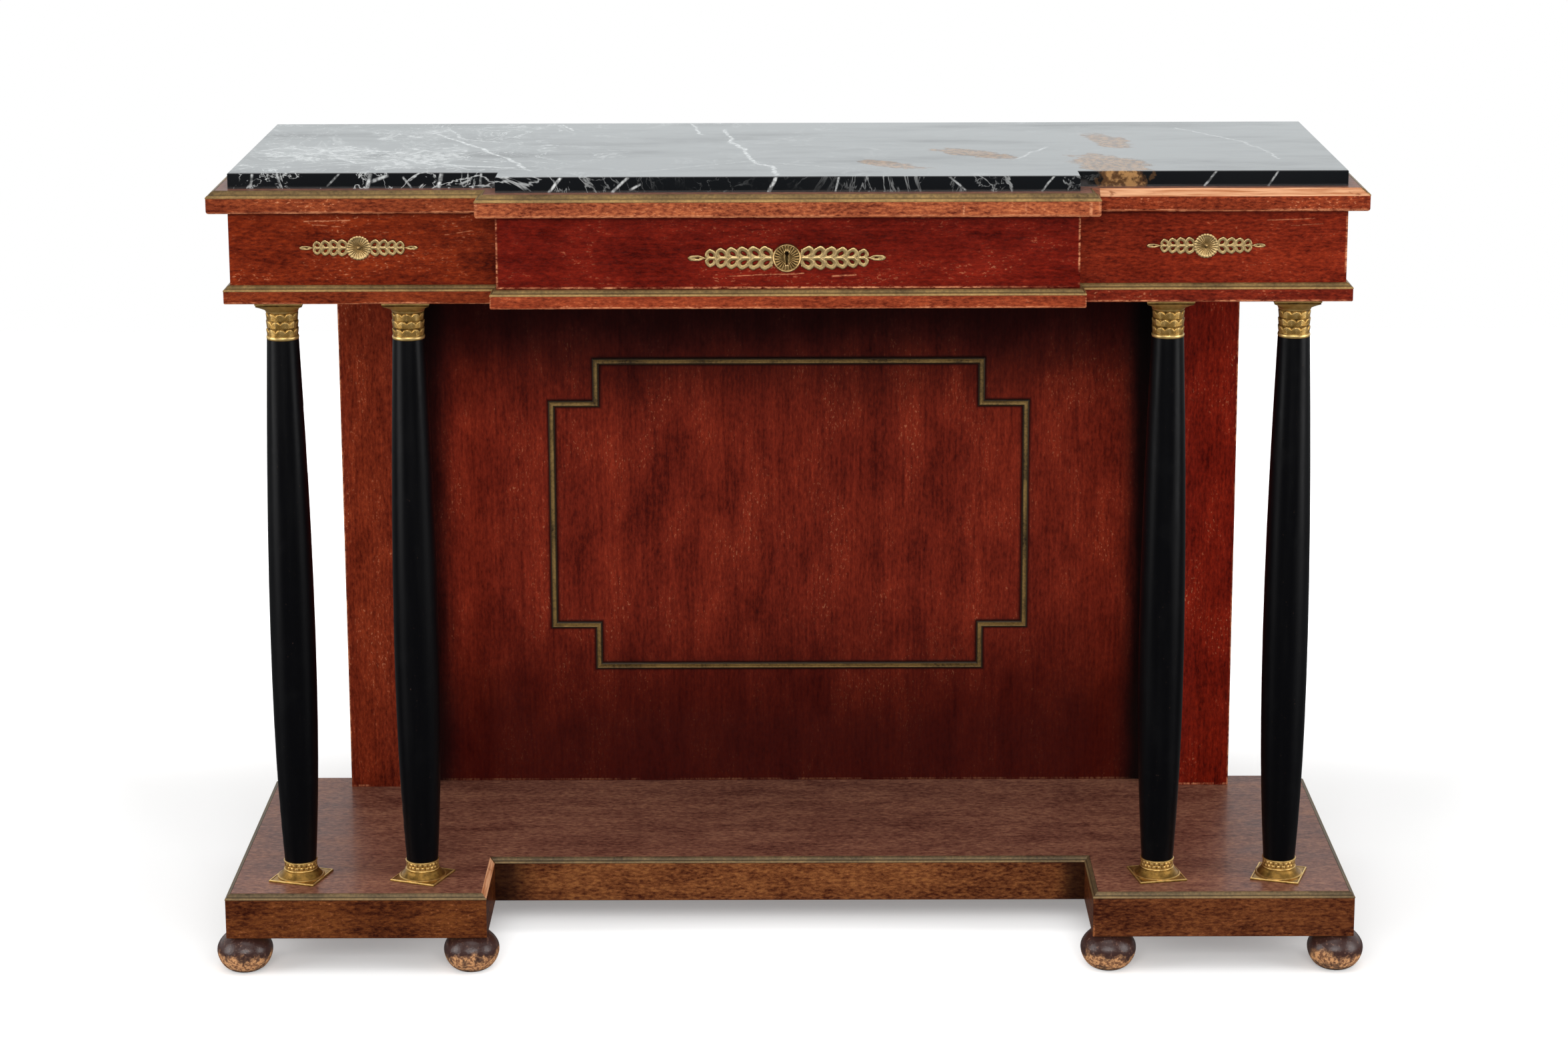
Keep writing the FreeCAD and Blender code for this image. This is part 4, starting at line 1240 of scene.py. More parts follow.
    def _base(self, gilding: bpy.types.Material) -> None:
        """Make the base: a square plate with a raised edge, a hollow flare and a leafy collar.

        Args:
            gilding: the finish.
        """
        node = f"column_{self.name}_base"
        form = Form()
        self._plate(form)
        top = self.plate_thickness
        lip, foot = top + self.lip, self.collar_bottom
        hollow = curve_between([
            (self.flare - 0.0022, lip + 0.0003),
            *((radius, lip + rise) for radius, rise in self.hollow),
            *((radius, foot - drop) for radius, drop in self.hollow_top),
        ], self.hollow_steps)
        outline = [
            (self.flare, top - 0.0002), (self.flare + 0.0002, top + 0.0008), (self.flare - 0.0005, lip),
            (self.flare - 0.0016, lip + 0.0004), *hollow,
        ]
        for i in range(self.collar_steps):
            outline.append((self.collar, foot + self.collar_height * (i + 1) / self.collar_steps))

        def shape(radius: float, z: float, angle: float) -> Point:
            """Return the radius and relief at a height and an angle.

            Args:
                radius, z: the place on the outline.
                angle: the direction.

            Returns:
                The radius and the relief.
            """
            if z <= foot:
                return radius, 0.36 + 0.35 * bell(radius, self.flare, 0.0012)
            share = (z - foot) / self.collar_height
            ring = self.collar_ring
            if share < ring or share > 1 - ring:
                near = share / ring if share < ring else (1 - share) / ring
                swell = math.sin(math.pi * near)
                return radius - self.collar_sink + self.collar_swell * swell, 0.35 + 0.6 * swell
            level = (share - ring) / (1 - 2 * ring)
            phase = self.collar_leaves * angle / math.tau + 0.5 * (level > 0.5)
            across = abs((phase % 1.0) - 0.5) * 2
            leaf = ease(1 - across, 0.0, 0.6) * math.sin(math.pi * ((2 * level) % 1.0)) ** 0.6
            notch = 0.5 + 0.5 * math.cos(math.tau * (2.5 * level + across))
            real = radius - self.collar_leaf + self.collar_leaf * leaf + self.collar_notch * notch
            return real, 0.3 + 0.45 * leaf + 0.2 * notch

        rows = Turning(outline, self.base_segments).rows(form, shape)
        crown = foot + self.collar_height
        form.skin([rows[-1], form.circle(self.bore, crown, self.base_segments, 0.2)])
        form.move(self._place(node, self.turn))
        seat(form.make(f"base_{self.name}", gilding, 40.0), "carcase", "gilt_bronze", node)

    def _plate(self, form: Form, steps: int = 6) -> None:
        """Add the square plate, its top edge raised in a narrow band.

        Args:
            form: where it goes.
            steps: the points on each side.
        """
        half, top = self.plate / 2, self.plate_thickness
        loops = (
            (half, 0.0, 0.2), (half, top - 0.0008, 0.6), (half - 0.0005, top - 0.0001, 0.95),
            (half - 0.0016, top, 0.95), (half - 0.0024, top - 0.0006, 0.25),
            (half - 0.004, top - 0.0004, 0.45),
        )
        rows = []
        for size, z, relief in loops:
            corners = ((size, -size), (size, size), (-size, size), (-size, -size))
            row = []
            for (x, y), (next_x, next_y) in zip(corners, (*corners[1:], corners[0])):
                for step in range(steps):
                    share = step / steps
                    spot = Vector((x + (next_x - x) * share, y + (next_y - y) * share, z))
                    row.append(form.add(spot, relief))
            rows.append(row)
        form.skin(rows)
        form.cap(rows[0], Vector((0, 0, 0)), 0.1, outward=False)
        form.cap(rows[-1], Vector((0, 0, top - 0.0002)), 0.4)


@dataclass
class Columns:
    """The four columns. turns gives each one's name and the turn of its base in degrees."""

    turns: tuple[tuple[str, float], ...] = (
        ("outer_left", -17.0), ("inner_left", -21.0), ("inner_right", 11.0), ("outer_right", -18.0),
    )

    def build(self, gilding: bpy.types.Material) -> None:
        """Dress the shafts, then make the capitals and bases.

        Args:
            gilding: the finish of the bronze.
        """
        dress(Ebony().material("ebonised_lacquer"), *(f"column_{name}_shaft" for name, _ in self.turns))
        LOG.info("column shafts dressed")
        for name, turn in self.turns:
            ColumnFittings(name, turn).build(gilding)


# ------------------------------------------------------------------ pierced mounts

@dataclass
class LeafMount:
    """A pierced band of leaves either side of a rosette. Sizes are metres.

    The mount stands on a face that looks to -Y. keyhole is the half width of the slot, the
    radius of the round hole and the whole height, or None. rim is the section of a leaf's raised
    edge: the share of the way in, the rise and the relief.
    """

    node: str
    body: str
    pairs: int
    rosette: float
    band: float
    keyhole: tuple[float, float, float] | None = None
    thickness: float = 0.0016
    rosette_rise: float = 0.0016
    stem: float = 0.0014
    bead: float = 0.0016
    slant: float = 32.0
    petals: int = 24
    petal_points: int = 8
    leaf_points: int = 26
    rim: tuple[tuple[float, float, float], ...] = (
        (0.0, 0.0, 0.05), (0.04, 0.6, 0.3), (0.16, 0.95, 0.85), (0.34, 1.0, 1.0), (0.55, 0.88, 0.72),
        (0.74, 0.9, 0.82), (0.90, 0.7, 0.4), (1.0, 0.0, 0.0),
    )

    def __post_init__(self) -> None:
        """Measure the node that the mount stands for."""
        low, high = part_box(self.node)
        self.back = high.y
        self.middle = (low + high) / 2
        self.reach = (high.x - low.x) / 2

    def build(self, gilding: bpy.types.Material) -> None:
        """Make the mount and seat it.

        Args:
            gilding: its finish.
        """
        form = Form()
        self._rosette(form)
        for side in (-1, 1):
            self._band(form, side)
        piece = form.make(f"{self.node}_carved", gilding, 60.0)
        seat(piece, self.body, "gilt_bronze", self.node)

    def _set(self, form: Form, x: float, z: float, rise: float, relief: float) -> int:
        """Add a point by its place on the face and its rise off it."""
        return form.add(Vector((self.middle.x + x, self.back - rise, self.middle.z + z)), relief)

    def _leaf(
        self, form: Form, side: int, root: float, size: Point, rise: float, lean: float = 0.0,
        slot: tuple[float, float, float] = (0.5, 0.34, 0.2),
    ) -> None:
        """Add a leaf with a raised edge about a slot.

        Args:
            form: where it goes.
            side: 1 for the right half of the mount and -1 for the left.
            root: how far from the middle it starts.
            size: its length and width.
            rise: how high its crest stands.
            lean: the angle in degrees that it slants from the stem.
            slot: the middle, length and width of the slot, as shares of the leaf's.
        """
        outer, inner = [], []
        length, width = size
        turn = math.radians(lean)
        for i in range(self.leaf_points):
            angle = math.tau * i / self.leaf_points
            along = (1 - math.cos(angle)) / 2
            belly = math.sin(angle) * (0.66 + 0.5 * along)
            scallop = 1 + 0.07 * math.cos(5 * angle)
            for middle, run, spread, into in ((0.5, 1.0, scallop, outer), (*slot, inner)):
                u = (middle + (along - 0.5) * run) * length
                v = belly * width / 2 * spread
                x = root + u * math.cos(turn) - v * math.sin(turn)
                into.append((side * x, u * math.sin(turn) + v * math.cos(turn)))
        rows = [
            [
                self._set(form, a[0] + (b[0] - a[0]) * share, a[1] + (b[1] - a[1]) * share, rise * up, relief)
                for a, b in zip(outer, inner)
            ]
            for share, up, relief in self.rim
        ]
        form.skin(rows[::-1] if side < 0 else rows)

    def _band(self, form: Form, side: int) -> None:
        """Add one half of the band: pairs of leaves on a stem, a bud and beads.

        Args:
            form: where it goes.
            side: 1 for the right half and -1 for the left.
        """
        pitch = (self.reach - self.rosette) / (self.pairs + 1.3)
        band = 2 * self.thickness + self.band
        for i in range(self.pairs):
            taper = 1 - 0.42 * (i / self.pairs) ** 2
            length = band / 2 * taper / math.sin(math.radians(self.slant)) * 0.99
            root = self.rosette - 0.2 * pitch + i * pitch
            for up in (-1, 1):
                size = (length, pitch * 1.24 * taper ** 0.5)
                self._leaf(form, side, root, size, self.thickness * 0.94, up * self.slant)
        self._stem(form, side, self.rosette * 0.9, self.reach - pitch)
        bud = self.reach - 1.55 * pitch
        size = (self.reach - bud, band * 0.36)
        self._leaf(form, side, bud, size, self.thickness * 0.9, slot=(0.4, 0.2, 0.1))
        for up in (-1, 1):
            self._bead(form, side * (self.rosette * 1.02), up * band * 0.42)

    def _stem(
        self, form: Form, side: int, start: float, end: float, steps: int = 24, around: int = 8,
    ) -> None:
        """Add the half-round stem that the leaves grow from.

        Args:
            form: where it goes.
            side: 1 for the right half and -1 for the left.
            start, end: its ends, from the middle.
            steps: its number of lengths.
            around: the faces round it.
        """
        rows = []
        for i in range(steps + 1):
            share = i / steps
            x = side * (start + (end - start) * share)
            width = self.stem * (1 - 0.45 * share)
            row = []
            for k in range(around + 1):
                angle = math.pi * k / around
                rise = self.thickness * 0.98 * math.sin(angle)
                row.append(self._set(form, x, width * math.cos(angle), rise, 0.35 + 0.55 * math.sin(angle)))
            rows.append(row)
        form.skin(rows if side > 0 else rows[::-1], closed=False)

    def _bead(self, form: Form, x: float, z: float, levels: int = 5, segments: int = 14) -> None:
        """Add a small half-round bead.

        Args:
            form: where it goes.
            x, z: its middle.
            levels: its rows of points.
            segments: the points in a row.
        """
        rows = []
        for level in range(levels):
            tilt = math.pi / 2 * level / levels
            row = []
            for i in range(segments):
                angle = -math.tau * i / segments
                across = self.bead * math.cos(tilt) * math.cos(angle)
                up = self.bead * math.cos(tilt) * math.sin(angle)
                rise, relief = self.thickness * math.sin(tilt), 0.4 + 0.6 * math.sin(tilt)
                row.append(self._set(form, x + across, z + up, rise, relief))
            rows.append(row)
        form.skin(rows)
        form.cap(rows[-1], Vector((self.middle.x + x, self.back - self.thickness, self.middle.z + z)), 1.0)

    def _opening(self, angle: float) -> float:
        """Return the distance from the middle to the edge of the keyhole.

        Args:
            angle: the direction.

        Returns:
            The distance to the slot's or the round hole's edge, whichever is farther.
        """
        half_width, radius, height = self.keyhole
        centre = height / 2 - radius
        dx, dz = math.cos(angle), math.sin(angle)
        reach = half_width / max(abs(dx), half_width)
        if dz < 0:
            return min(reach, -height / 2 / dz)
        ahead = dz * centre
        inside = ahead * ahead - (centre * centre - radius * radius)
        if inside >= 0:
            reach = max(reach, ahead + math.sqrt(inside))
        return min(reach, (centre + radius) / dz) if dz > 0 else reach

    def _rosette(self, form: Form, levels: int = 30) -> None:
        """Add the fluted rosette, open in the middle where there is a keyhole.

        Args:
            form: where it goes.
            levels: the steps from its middle to its edge.
        """
        segments = self.petals * self.petal_points
        rows = []
        for level in range(levels + 1):
            row = []
            for i in range(segments):
                angle = math.tau * i / segments
                petal = abs(math.sin(self.petals * angle / 2))
                edge = self.rosette * (1.0 if self.keyhole else 0.965 + 0.035 * petal)
                inner = self._opening(angle) if self.keyhole else 0.0
                radius = inner + (edge - inner) * (level / levels)
                rise, relief = self._rosette_height(radius, petal, inner)
                row.append(self._set(form, radius * math.cos(angle), radius * math.sin(angle), rise, relief))
            rows.append(row)
        rows.append(self._wall(form, rows[-1]))
        if self.keyhole:
            rows.insert(0, self._wall(form, rows[0]))
        form.skin([row[::-1] for row in rows])

    def _wall(self, form: Form, row: Sequence[int]) -> list[int]:
        """Repeat a row of points on the face that the mount stands on.

        Args:
            form: where they go.
            row: the numbers of the points.

        Returns:
            The numbers of the new points.
        """
        return [
            self._set(form, form.points[k].x - self.middle.x, form.points[k].z - self.middle.z, 0.0, 0.1)
            for k in row
        ]

    def _rosette_height(self, radius: float, petal: float, inner: float) -> Point:
        """Return the rise and relief of the rosette.

        Args:
            radius: the distance from the middle.
            petal: 0 in the groove between two petals and 1 on a petal.
            inner: the edge of the keyhole.

        Returns:
            The rise off the face and the relief.
        """
        share = radius / self.rosette
        full = self.thickness + self.rosette_rise
        if self.keyhole:
            rim = bell(share, 0.91, 0.05)
            fluted = ease(share, 0.34, 0.42) * (1 - ease(share, 0.80, 0.86))
            flute = fluted * petal
            base = full * (0.52 + 0.12 * share) - full * 0.3 * ease(share, 0.97, 1.0)
            collar = bell(radius - inner, 0.0012, 0.0011)
            rise = base + full * (0.36 * rim + 0.18 * flute + 0.12 * collar)
            relief = 0.3 + 0.6 * rim + 0.45 * flute + 0.35 * collar - 0.15 * fluted
        else:
            boss = bell(share, 0.0, 0.11)
            dish = ease(share, 0.12, 0.8)
            lip = bell(share, 0.88, 0.08)
            flute = ease(share, 0.12, 0.3) * petal
            rise = full * (0.34 + 0.34 * dish + 0.22 * lip + 0.4 * boss + 0.14 * flute * (0.4 + share))
            relief = 0.22 + 0.3 * dish + 0.3 * flute + 0.6 * boss + 0.2 * lip
        return min(rise, full * 0.99), relief


# ------------------------------------------------------------------ feet

@dataclass
class BunFeet:
    """The turned bun feet. Sizes are metres, and outline is (radius, height)."""

    names: tuple[str, ...] = (
        "foot_outer_left", "foot_inner_left", "foot_inner_right", "foot_outer_right",
    )
    rear: str = "feet_rear"
    widest: float = 0.03625
    steps: int = 4
    segments: int = 72
    outline: tuple[Point, ...] = (
        (0.0160, 0.0), (0.0200, 0.0006), (0.0262, 0.0045), (0.0305, 0.0095), (0.0336, 0.0150),
        (0.0355, 0.0208), (0.03622, 0.0262), (0.0356, 0.0318), (0.0333, 0.0372), (0.0299, 0.0420),
        (0.0256, 0.0464), (0.0215, 0.0505),
    )

    def build(self, lacquer: bpy.types.Material) -> None:
        """Make every foot and seat it.

        Args:
            lacquer: the finish.
        """
        for node in (*self.names, self.rear):
            low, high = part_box(node)
            places = ((low.x + high.x) / 2,)
            if node == self.rear:
                places = (low.x + self.widest, high.x - self.widest)
            form = Form()
            for x in places:
                self._foot(form, x, (low.y + high.y) / 2)
            seat(form.make(f"{node}_bun", lacquer), "carcase", "foot_lacquer", node)

    def _foot(self, form: Form, x: float, y: float) -> None:
        """Add one foot.

        Args:
            form: where it goes.
            x, y: its middle.
        """
        start = len(form.points)
        turning = Turning(curve_between(self.outline, self.steps), self.segments)
        rows = turning.rows(form, lambda radius, height, angle: (radius, 0.6))
        form.cap(rows[0], Vector((0, 0, 0)), outward=False)
        form.cap(rows[-1], Vector((0, 0, self.outline[-1][1])))
        form.move(Matrix.Translation((x, y, 0)), start)


# ------------------------------------------------------------------ boards and mouldings

def face_vein(x: float, z: float, end_x: float, end_z: float, width: float, strength: float) -> Vein:
    """Return a straight vein in the slab's upright faces, by its ends in X and Z."""
    return Vein(((x, z), (end_x, end_z)), width, strength)


@dataclass
class MarbleTop:
    """The slab of marble and where its veins and patches lie, in metres."""

    node: str = "marble_top"
    veins: tuple[Vein, ...] = (
        Vein(((-0.483, 0.169), (-0.40, 0.02), (-0.318, -0.173)), 0.0045, 1.0),
        Vein(((-0.086, 0.187), (-0.041, -0.123), (-0.020, -0.145), (-0.012, -0.216)), 0.0045, 1.0),
        Vein(((-0.303, 0.236), (-0.286, 0.178)), 0.003, 0.9),
        Vein(((-0.130, 0.245), (-0.115, 0.137)), 0.003, 0.9),
        Vein(((0.29, -0.084), (0.336, 0.019)), 0.0035, 0.6),
        Vein(((-0.62, 0.03), (-0.55, -0.11)), 0.005, 0.9),
        Vein(((-0.20, -0.19), (-0.05, -0.10), (0.08, -0.16)), 0.0025, 0.5),
        Vein(((-0.66, -0.05), (-0.59, 0.01), (-0.51, -0.01), (-0.45, -0.08)), 0.007, 0.9),
        Vein(((-0.57, -0.12), (-0.49, -0.07), (-0.42, -0.13), (-0.34, -0.15)), 0.005, 0.9),
        Vein(((-0.46, 0.20), (-0.43, 0.10), (-0.38, 0.07)), 0.004, 0.8),
        Vein(((0.52, 0.19), (0.60, 0.06), (0.63, -0.09)), 0.003, 0.6),
    )
    face_veins: tuple[Vein, ...] = (
        face_vein(-0.672, 1.032, -0.668, 1.050, 0.0024, 0.6),
        face_vein(-0.632, 1.031, -0.638, 1.050, 0.0022, 0.6),
        face_vein(-0.575, 1.034, -0.560, 1.050, 0.0018, 0.5),
        face_vein(-0.527, 1.031, -0.521, 1.050, 0.0034, 1.0),
        face_vein(-0.520, 1.040, -0.500, 1.047, 0.0030, 0.7),
        face_vein(-0.470, 1.031, -0.480, 1.045, 0.0018, 0.6),
        face_vein(-0.437, 1.031, -0.431, 1.050, 0.0034, 1.0),
        face_vein(-0.410, 1.036, -0.396, 1.042, 0.0018, 0.6),
        face_vein(-0.385, 1.031, -0.382, 1.050, 0.0020, 0.6),
        face_vein(-0.296, 1.031, -0.280, 1.050, 0.0026, 0.9),
        face_vein(-0.218, 1.031, -0.198, 1.050, 0.0026, 0.7),
        face_vein(-0.196, 1.034, -0.183, 1.041, 0.0022, 0.7),
        face_vein(-0.024, 1.031, -0.014, 1.050, 0.0030, 1.0),
        face_vein(0.060, 1.031, 0.064, 1.050, 0.0020, 0.6),
        face_vein(0.22, 1.033, 0.20, 1.050, 0.0018, 0.5),
        face_vein(0.315, 1.031, 0.330, 1.050, 0.0018, 0.5),
        face_vein(0.52, 1.031, 0.535, 1.050, 0.0020, 0.6),
        face_vein(0.60, 1.031, 0.612, 1.050, 0.0018, 0.5),
    )
    patches: tuple[Patch, ...] = (
        Patch((0.407, -0.125), (0.046, 0.080), 12.0),
        Patch((0.423, 0.070), (0.026, 0.070), 14.0),
        Patch((0.132, -0.131), (0.058, 0.020), -40.0),
        Patch((0.243, -0.040), (0.066, 0.026), -42.0),
    )
    clouds: tuple[Patch, ...] = (
        Patch((-0.60, -0.02), (0.085, 0.075), -30.0),
        Patch((-0.474, -0.065), (0.060, 0.095), -20.0),
        Patch((-0.50, 0.14), (0.060, 0.050), 20.0),
    )

    def build(self) -> None:
        """Dress the slab."""
        finish = Marble(
            veins=self.veins, face_veins=self.face_veins, patches=self.patches, clouds=self.clouds,
        )
        dress(finish.material("marble"), self.node)
        LOG.info("marble top dressed")


def frame_line(width: float, strip: float = 0.0088, notch: Point = (0.062, 0.060)) -> NotchedBand:
    """Return a line along the notched brass frame of the back panel.

    Args:
        width: how far the line reaches to each side of the strip's middle.
        strip: the width of the strip.
        notch: the width and height of the frame's missing corners.

    Returns:
        The line.
    """
    low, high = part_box("panel_frame_brass")
    middle, half = (low + high) / 2, (high - low) / 2
    return NotchedBand((middle.x, middle.z), (half.x - strip / 2, half.z - strip / 2), notch, width)


@dataclass
class Woodwork:
    """The veneered boards and mouldings, and the places of their worn edges, in metres."""

    break_x: float = 0.3635
    step_x: float = 0.3875
    wing_x: float = 0.701
    stile_x: float = 0.6195
    cornice_bottom: float = 1.0025
    frieze_bottom: float = 0.9088
    soffit: float = 0.8854
    deck_top: float = 0.1107
    return_x: float = 0.393
    panel_lap: float = 0.010
    arris: float = 0.0008

    def build(self) -> None:
        """Dress every veneered board."""
        self._cornice()
        self._frieze()
        self._architrave()
        self._back()
        self._base()
        LOG.info("veneered boards dressed")

    def _cornice(self) -> None:
        """Dress the cornice and the board over it, raw where a strip is lost."""
        low = self.cornice_bottom
        corner = tuple(
            Scratch((x, low + start), (x, low + end), width, strength)
            for x, start, end, width, strength in (
                (0.217, 0.003, 0.017, 0.0020, 0.7), (0.294, 0.003, 0.017, 0.0022, 0.6),
                (0.374, 0.001, 0.018, 0.0028, 0.8),
            )
        )
        for name, tone, seed, rubbed, marks in (
            ("left", rgb(111, 46, 23), 1.3, (), ()),
            ("center", rgb(140, 70, 42), 2.1, (-self.step_x + 0.002, self.step_x - 0.002), corner),
            ("right", rgb(116, 43, 21), 3.9, (), ()),
        ):
            finish = Mahogany(
                tone, seed=seed, mottle=1.0, flecks=0.8, rubbed_x=rubbed, rubbed_z=(low + 0.0015,),
                rub_width=0.003, scratches=marks,
            )
            dress(finish.material(f"cornice_{name}_veneer"), f"cornice_{name}")
        ledge = Mahogany(rgb(122, 72, 52), seed=5.2)
        dress(PartBare(ledge, self._right_front_edge).material("top_board_wood"), "top_board")

    def _right_front_edge(self, graph: Graph) -> Signal:
        """Return where the right front edge of the top board is bare.

        Args:
            graph: where the nodes go.

        Returns:
            1 where it is bare and 0 elsewhere.
        """
        x, start = graph.axes()[0], self.step_x + 0.001
        return graph.facing()[1].ease(-0.25, -0.45) * x.ease(start - 0.0005, start + 0.0005)

    def _left_return_edge(self, graph: Graph) -> Signal:
        """Return where the left inner return of the deck is bare.

        Args:
            graph: where the nodes go.

        Returns:
            1 where it is bare and 0 elsewhere.
        """
        x, corner = graph.axes()[0], -self.return_x
        return graph.facing()[0].ease(0.25, 0.45) * x.ease(corner + 0.06, corner + 0.02)

    def _frieze(self) -> None:
        """Dress the frieze and the drawer front."""
        # Painted shadow of the cornice along the top of the frieze and drawer front.
        under = Shade(1, self.cornice_bottom - 0.008, self.cornice_bottom - 0.001, rgb(34, 6, 4), 0.75)
        edge = self.break_x - self.arris
        left = Mahogany(
            rgb(102, 30, 8), seed=7.4, clouds=0.6, roughness=0.36, rubbed_x=(-edge,), shades=(under,),
            scratches=(
                Scratch((-0.606, 0.990), (-0.548, 0.992), 0.0012, 0.7),
                Scratch((-0.596, 0.986), (-0.560, 0.984), 0.0009, 0.6),
                Scratch((-0.430, 0.972), (-0.395, 0.978), 0.0008, 0.5),
            ),
        )
        right = Mahogany(
            rgb(109, 30, 12), seed=9.8, roughness=0.36, rubbed_x=(self.wing_x - self.arris,), shades=(under,),
            scratches=(
                Scratch((0.60, 0.988), (0.66, 0.990), 0.0009, 0.5),
                Scratch((0.63, 0.981), (0.67, 0.983), 0.0008, 0.4),
            ),
        )
        drawer = Mahogany(
            rgb(93, 17, 7), seed=12.6, mottle=0.6, clouds=0.6, flecks=0.3, roughness=0.32, shades=(under,),
            rubbed_x=(-edge, edge), rubbed_z=(self.frieze_bottom + 0.0018,),
            scratches=(
                Scratch((-0.075, 0.927), (0.020, 0.929), 0.0010, 0.6),
                Scratch((0.055, 0.925), (0.085, 0.927), 0.0014, 0.6),
            ),
        )
        dress(left.material("frieze_left_veneer"), "frieze_front_left")
        dress(right.material("frieze_right_veneer"), "frieze_front_right")
        dress(drawer.material("drawer_front_veneer"), "drawer_front")
        dress(
            Mahogany(rgb(108, 38, 22), seed=15.1).material("frieze_end_veneer"),
            "frieze_side_left", "frieze_side_right", "drawer_partition_left", "drawer_partition_right",
            "drawer_top_rail",
        )

    def _architrave(self) -> None:
        """Dress the architrave and the soffit."""
        edge = self.step_x - 0.016
        for name, tone, seed, rubbed in (
            ("left", rgb(109, 41, 17), 17.2, ()), ("center", rgb(130, 53, 28), 18.9, (-edge, edge)),
            ("right", rgb(102, 28, 13), 21.3, ()),
        ):
            finish = Mahogany(tone, seed=seed, flecks=0.7, rubbed_x=rubbed, rubbed_z=(self.soffit + 0.0012,))
            dress(finish.material(f"architrave_{name}_veneer"), f"architrave_{name}")
        dress(Mahogany(rgb(78, 28, 17), seed=23.0, roughness=0.55).material("soffit_veneer"), "soffit_board")

    def _back(self) -> None:
        """Dress the back panel and its stiles."""
        foot = self.deck_top + 0.0018
        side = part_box("back_panel")[1].x - self.panel_lap
        panel = Mahogany(
            rgb(99, 26, 13), grain=Grain.UPRIGHT, figure=0.25, streak=0.34, mottle=0.5, clouds=0.55,
            flecks=0.3, seed=25.5, roughness=0.4, rubbed_z=(foot,), rub_width=0.002,
            scratches=(Scratch((-0.571, 0.30), (-0.566, 0.38), 0.0008, 0.5),),
            shades=(
                # Painted shadow of the frieze and soffit across the top of the panel.
                Shade(1, 0.62, 0.79, rgb(22, 0, 0), 0.92),
                # Darker towards the bottom of the panel.
                Shade(1, 0.42, 0.17, rgb(40, 1, 0), 0.8),
                # Painted shadows of the inner columns and stiles along the panel's sides.
                Shade(0, -side + 0.050, -side + 0.014, rgb(18, 0, 0), 0.9),
                Shade(0, side - 0.060, side - 0.022, rgb(6, 0, 0), 0.97),
                # Painted shade along both sides of the brass frame.
                frame_line(0.0088),
            ),
        )
        dress(panel.material("back_panel_veneer"), "back_panel")
        for name, way, tone, seed in (
            ("left", -1, rgb(105, 34, 16), 27.7), ("right", 1, rgb(102, 19, 7), 30.4),
        ):
            stile = Mahogany(
                tone, grain=Grain.UPRIGHT, streak=0.34, mottle=0.6, clouds=0.55, seed=seed, roughness=0.38,
                rubbed_z=(foot,), rubbed_x=(way * self.stile_x,), rub_width=0.0018,
                # Painted shadow of the architrave across the top of the stile.
                shades=(Shade(1, 0.78, 0.86, rgb(40, 4, 3), 0.7),),
            )
            dress(stile.material(f"stile_{name}_veneer"), f"stile_{name}")

    def _base(self) -> None:
        """Dress the deck and the boards under it, raw where a strip is lost."""
        # The deck's pale tone is partly its own colour and partly painted sheen of the pale room that it
        # reflects.
        deck = Mahogany(rgb(122, 77, 61), mottle=0.9, flecks=0.3, seed=33.3)
        dress(PartBare(deck, self._left_return_edge).material("base_deck_wood"), "base_deck")
        corner = self.return_x - 0.012
        # Painted shade in the two inner corners of the recess board.
        grime_and_shade = rgb(22, 6, 3)
        corner_shades = (Shade(0, -corner + 0.05, -corner, grime_and_shade, 0.85), Shade(0, corner - 0.03, corner, grime_and_shade, 0.85))
        for name, tone, seed, rubbed, shades in (
            ("left", rgb(79, 37, 14), 35.6, (), ()), ("recess", rgb(99, 54, 27), 38.8, (), corner_shades),
            ("right", rgb(83, 41, 19), 41.1, (self.return_x + 0.0015,), ()),
        ):
            fascia = Mahogany(
                tone, mottle=1.1, clouds=0.7, flecks=0.5, seed=seed, rubbed_x=rubbed, shades=shades,
                worn=rgb(152, 92, 54),
            )
            dress(fascia.material(f"base_{name}_veneer"), f"base_fascia_{name}")

    def dress_inside(self) -> None:
        """Dress the plain wood that shows with the drawer open or from behind."""
        dress(
            CarcaseWood().material("carcase_wood"),
            "frieze_back_rail", "drawer_runners", "drawer_kickers", "base_back_rail", "base_corner_blocks",
            "drawer_side_left", "drawer_side_right", "drawer_back", "drawer_bottom",
        )
        LOG.info("plain wood dressed")


@dataclass
class Metalwork:
    """The brass strips and the lock. The heights of the strips' grooves are metres."""

    cornice_groove: float = 1.0262
    architrave_groove: float = 0.9049
    base_groove: float = 0.1066

    def build(self) -> None:
        """Dress the strips, the frame and the lock."""
        dull = StripBrass(rgb(142, 116, 78), rgb(104, 86, 60), rgb(64, 52, 38), groove=self.base_groove)
        lined = StripBrass(rgb(164, 134, 78), rgb(132, 104, 56), rgb(44, 32, 18), crest=frame_line(0.0032))
        for node, name, finish in (
            ("cornice_brass", "cornice_strip_brass", StripBrass(groove=self.cornice_groove)),
            ("architrave_brass", "architrave_strip_brass", StripBrass(groove=self.architrave_groove)),
            ("base_brass", "base_strip_brass", dull),
            ("panel_frame_brass", "panel_frame_brass", lined),
            ("drawer_lock_case", "lock_case_brass", LockMetal(rgb(170, 140, 84), rgb(100, 76, 40))),
            ("lock_bolt", "lock_bolt_iron", LockMetal(rgb(150, 150, 148), rgb(90, 84, 78))),
        ):
            dress(finish.material(name), node)
        LOG.info("brass and lock dressed")


# ------------------------------------------------------------------ studio

@dataclass(frozen=True)
class Lamp:
    """A soft box: its place and size in metres and its power in watts."""

    name: str
    place: tuple[float, float, float]
    size: Point
    power: float


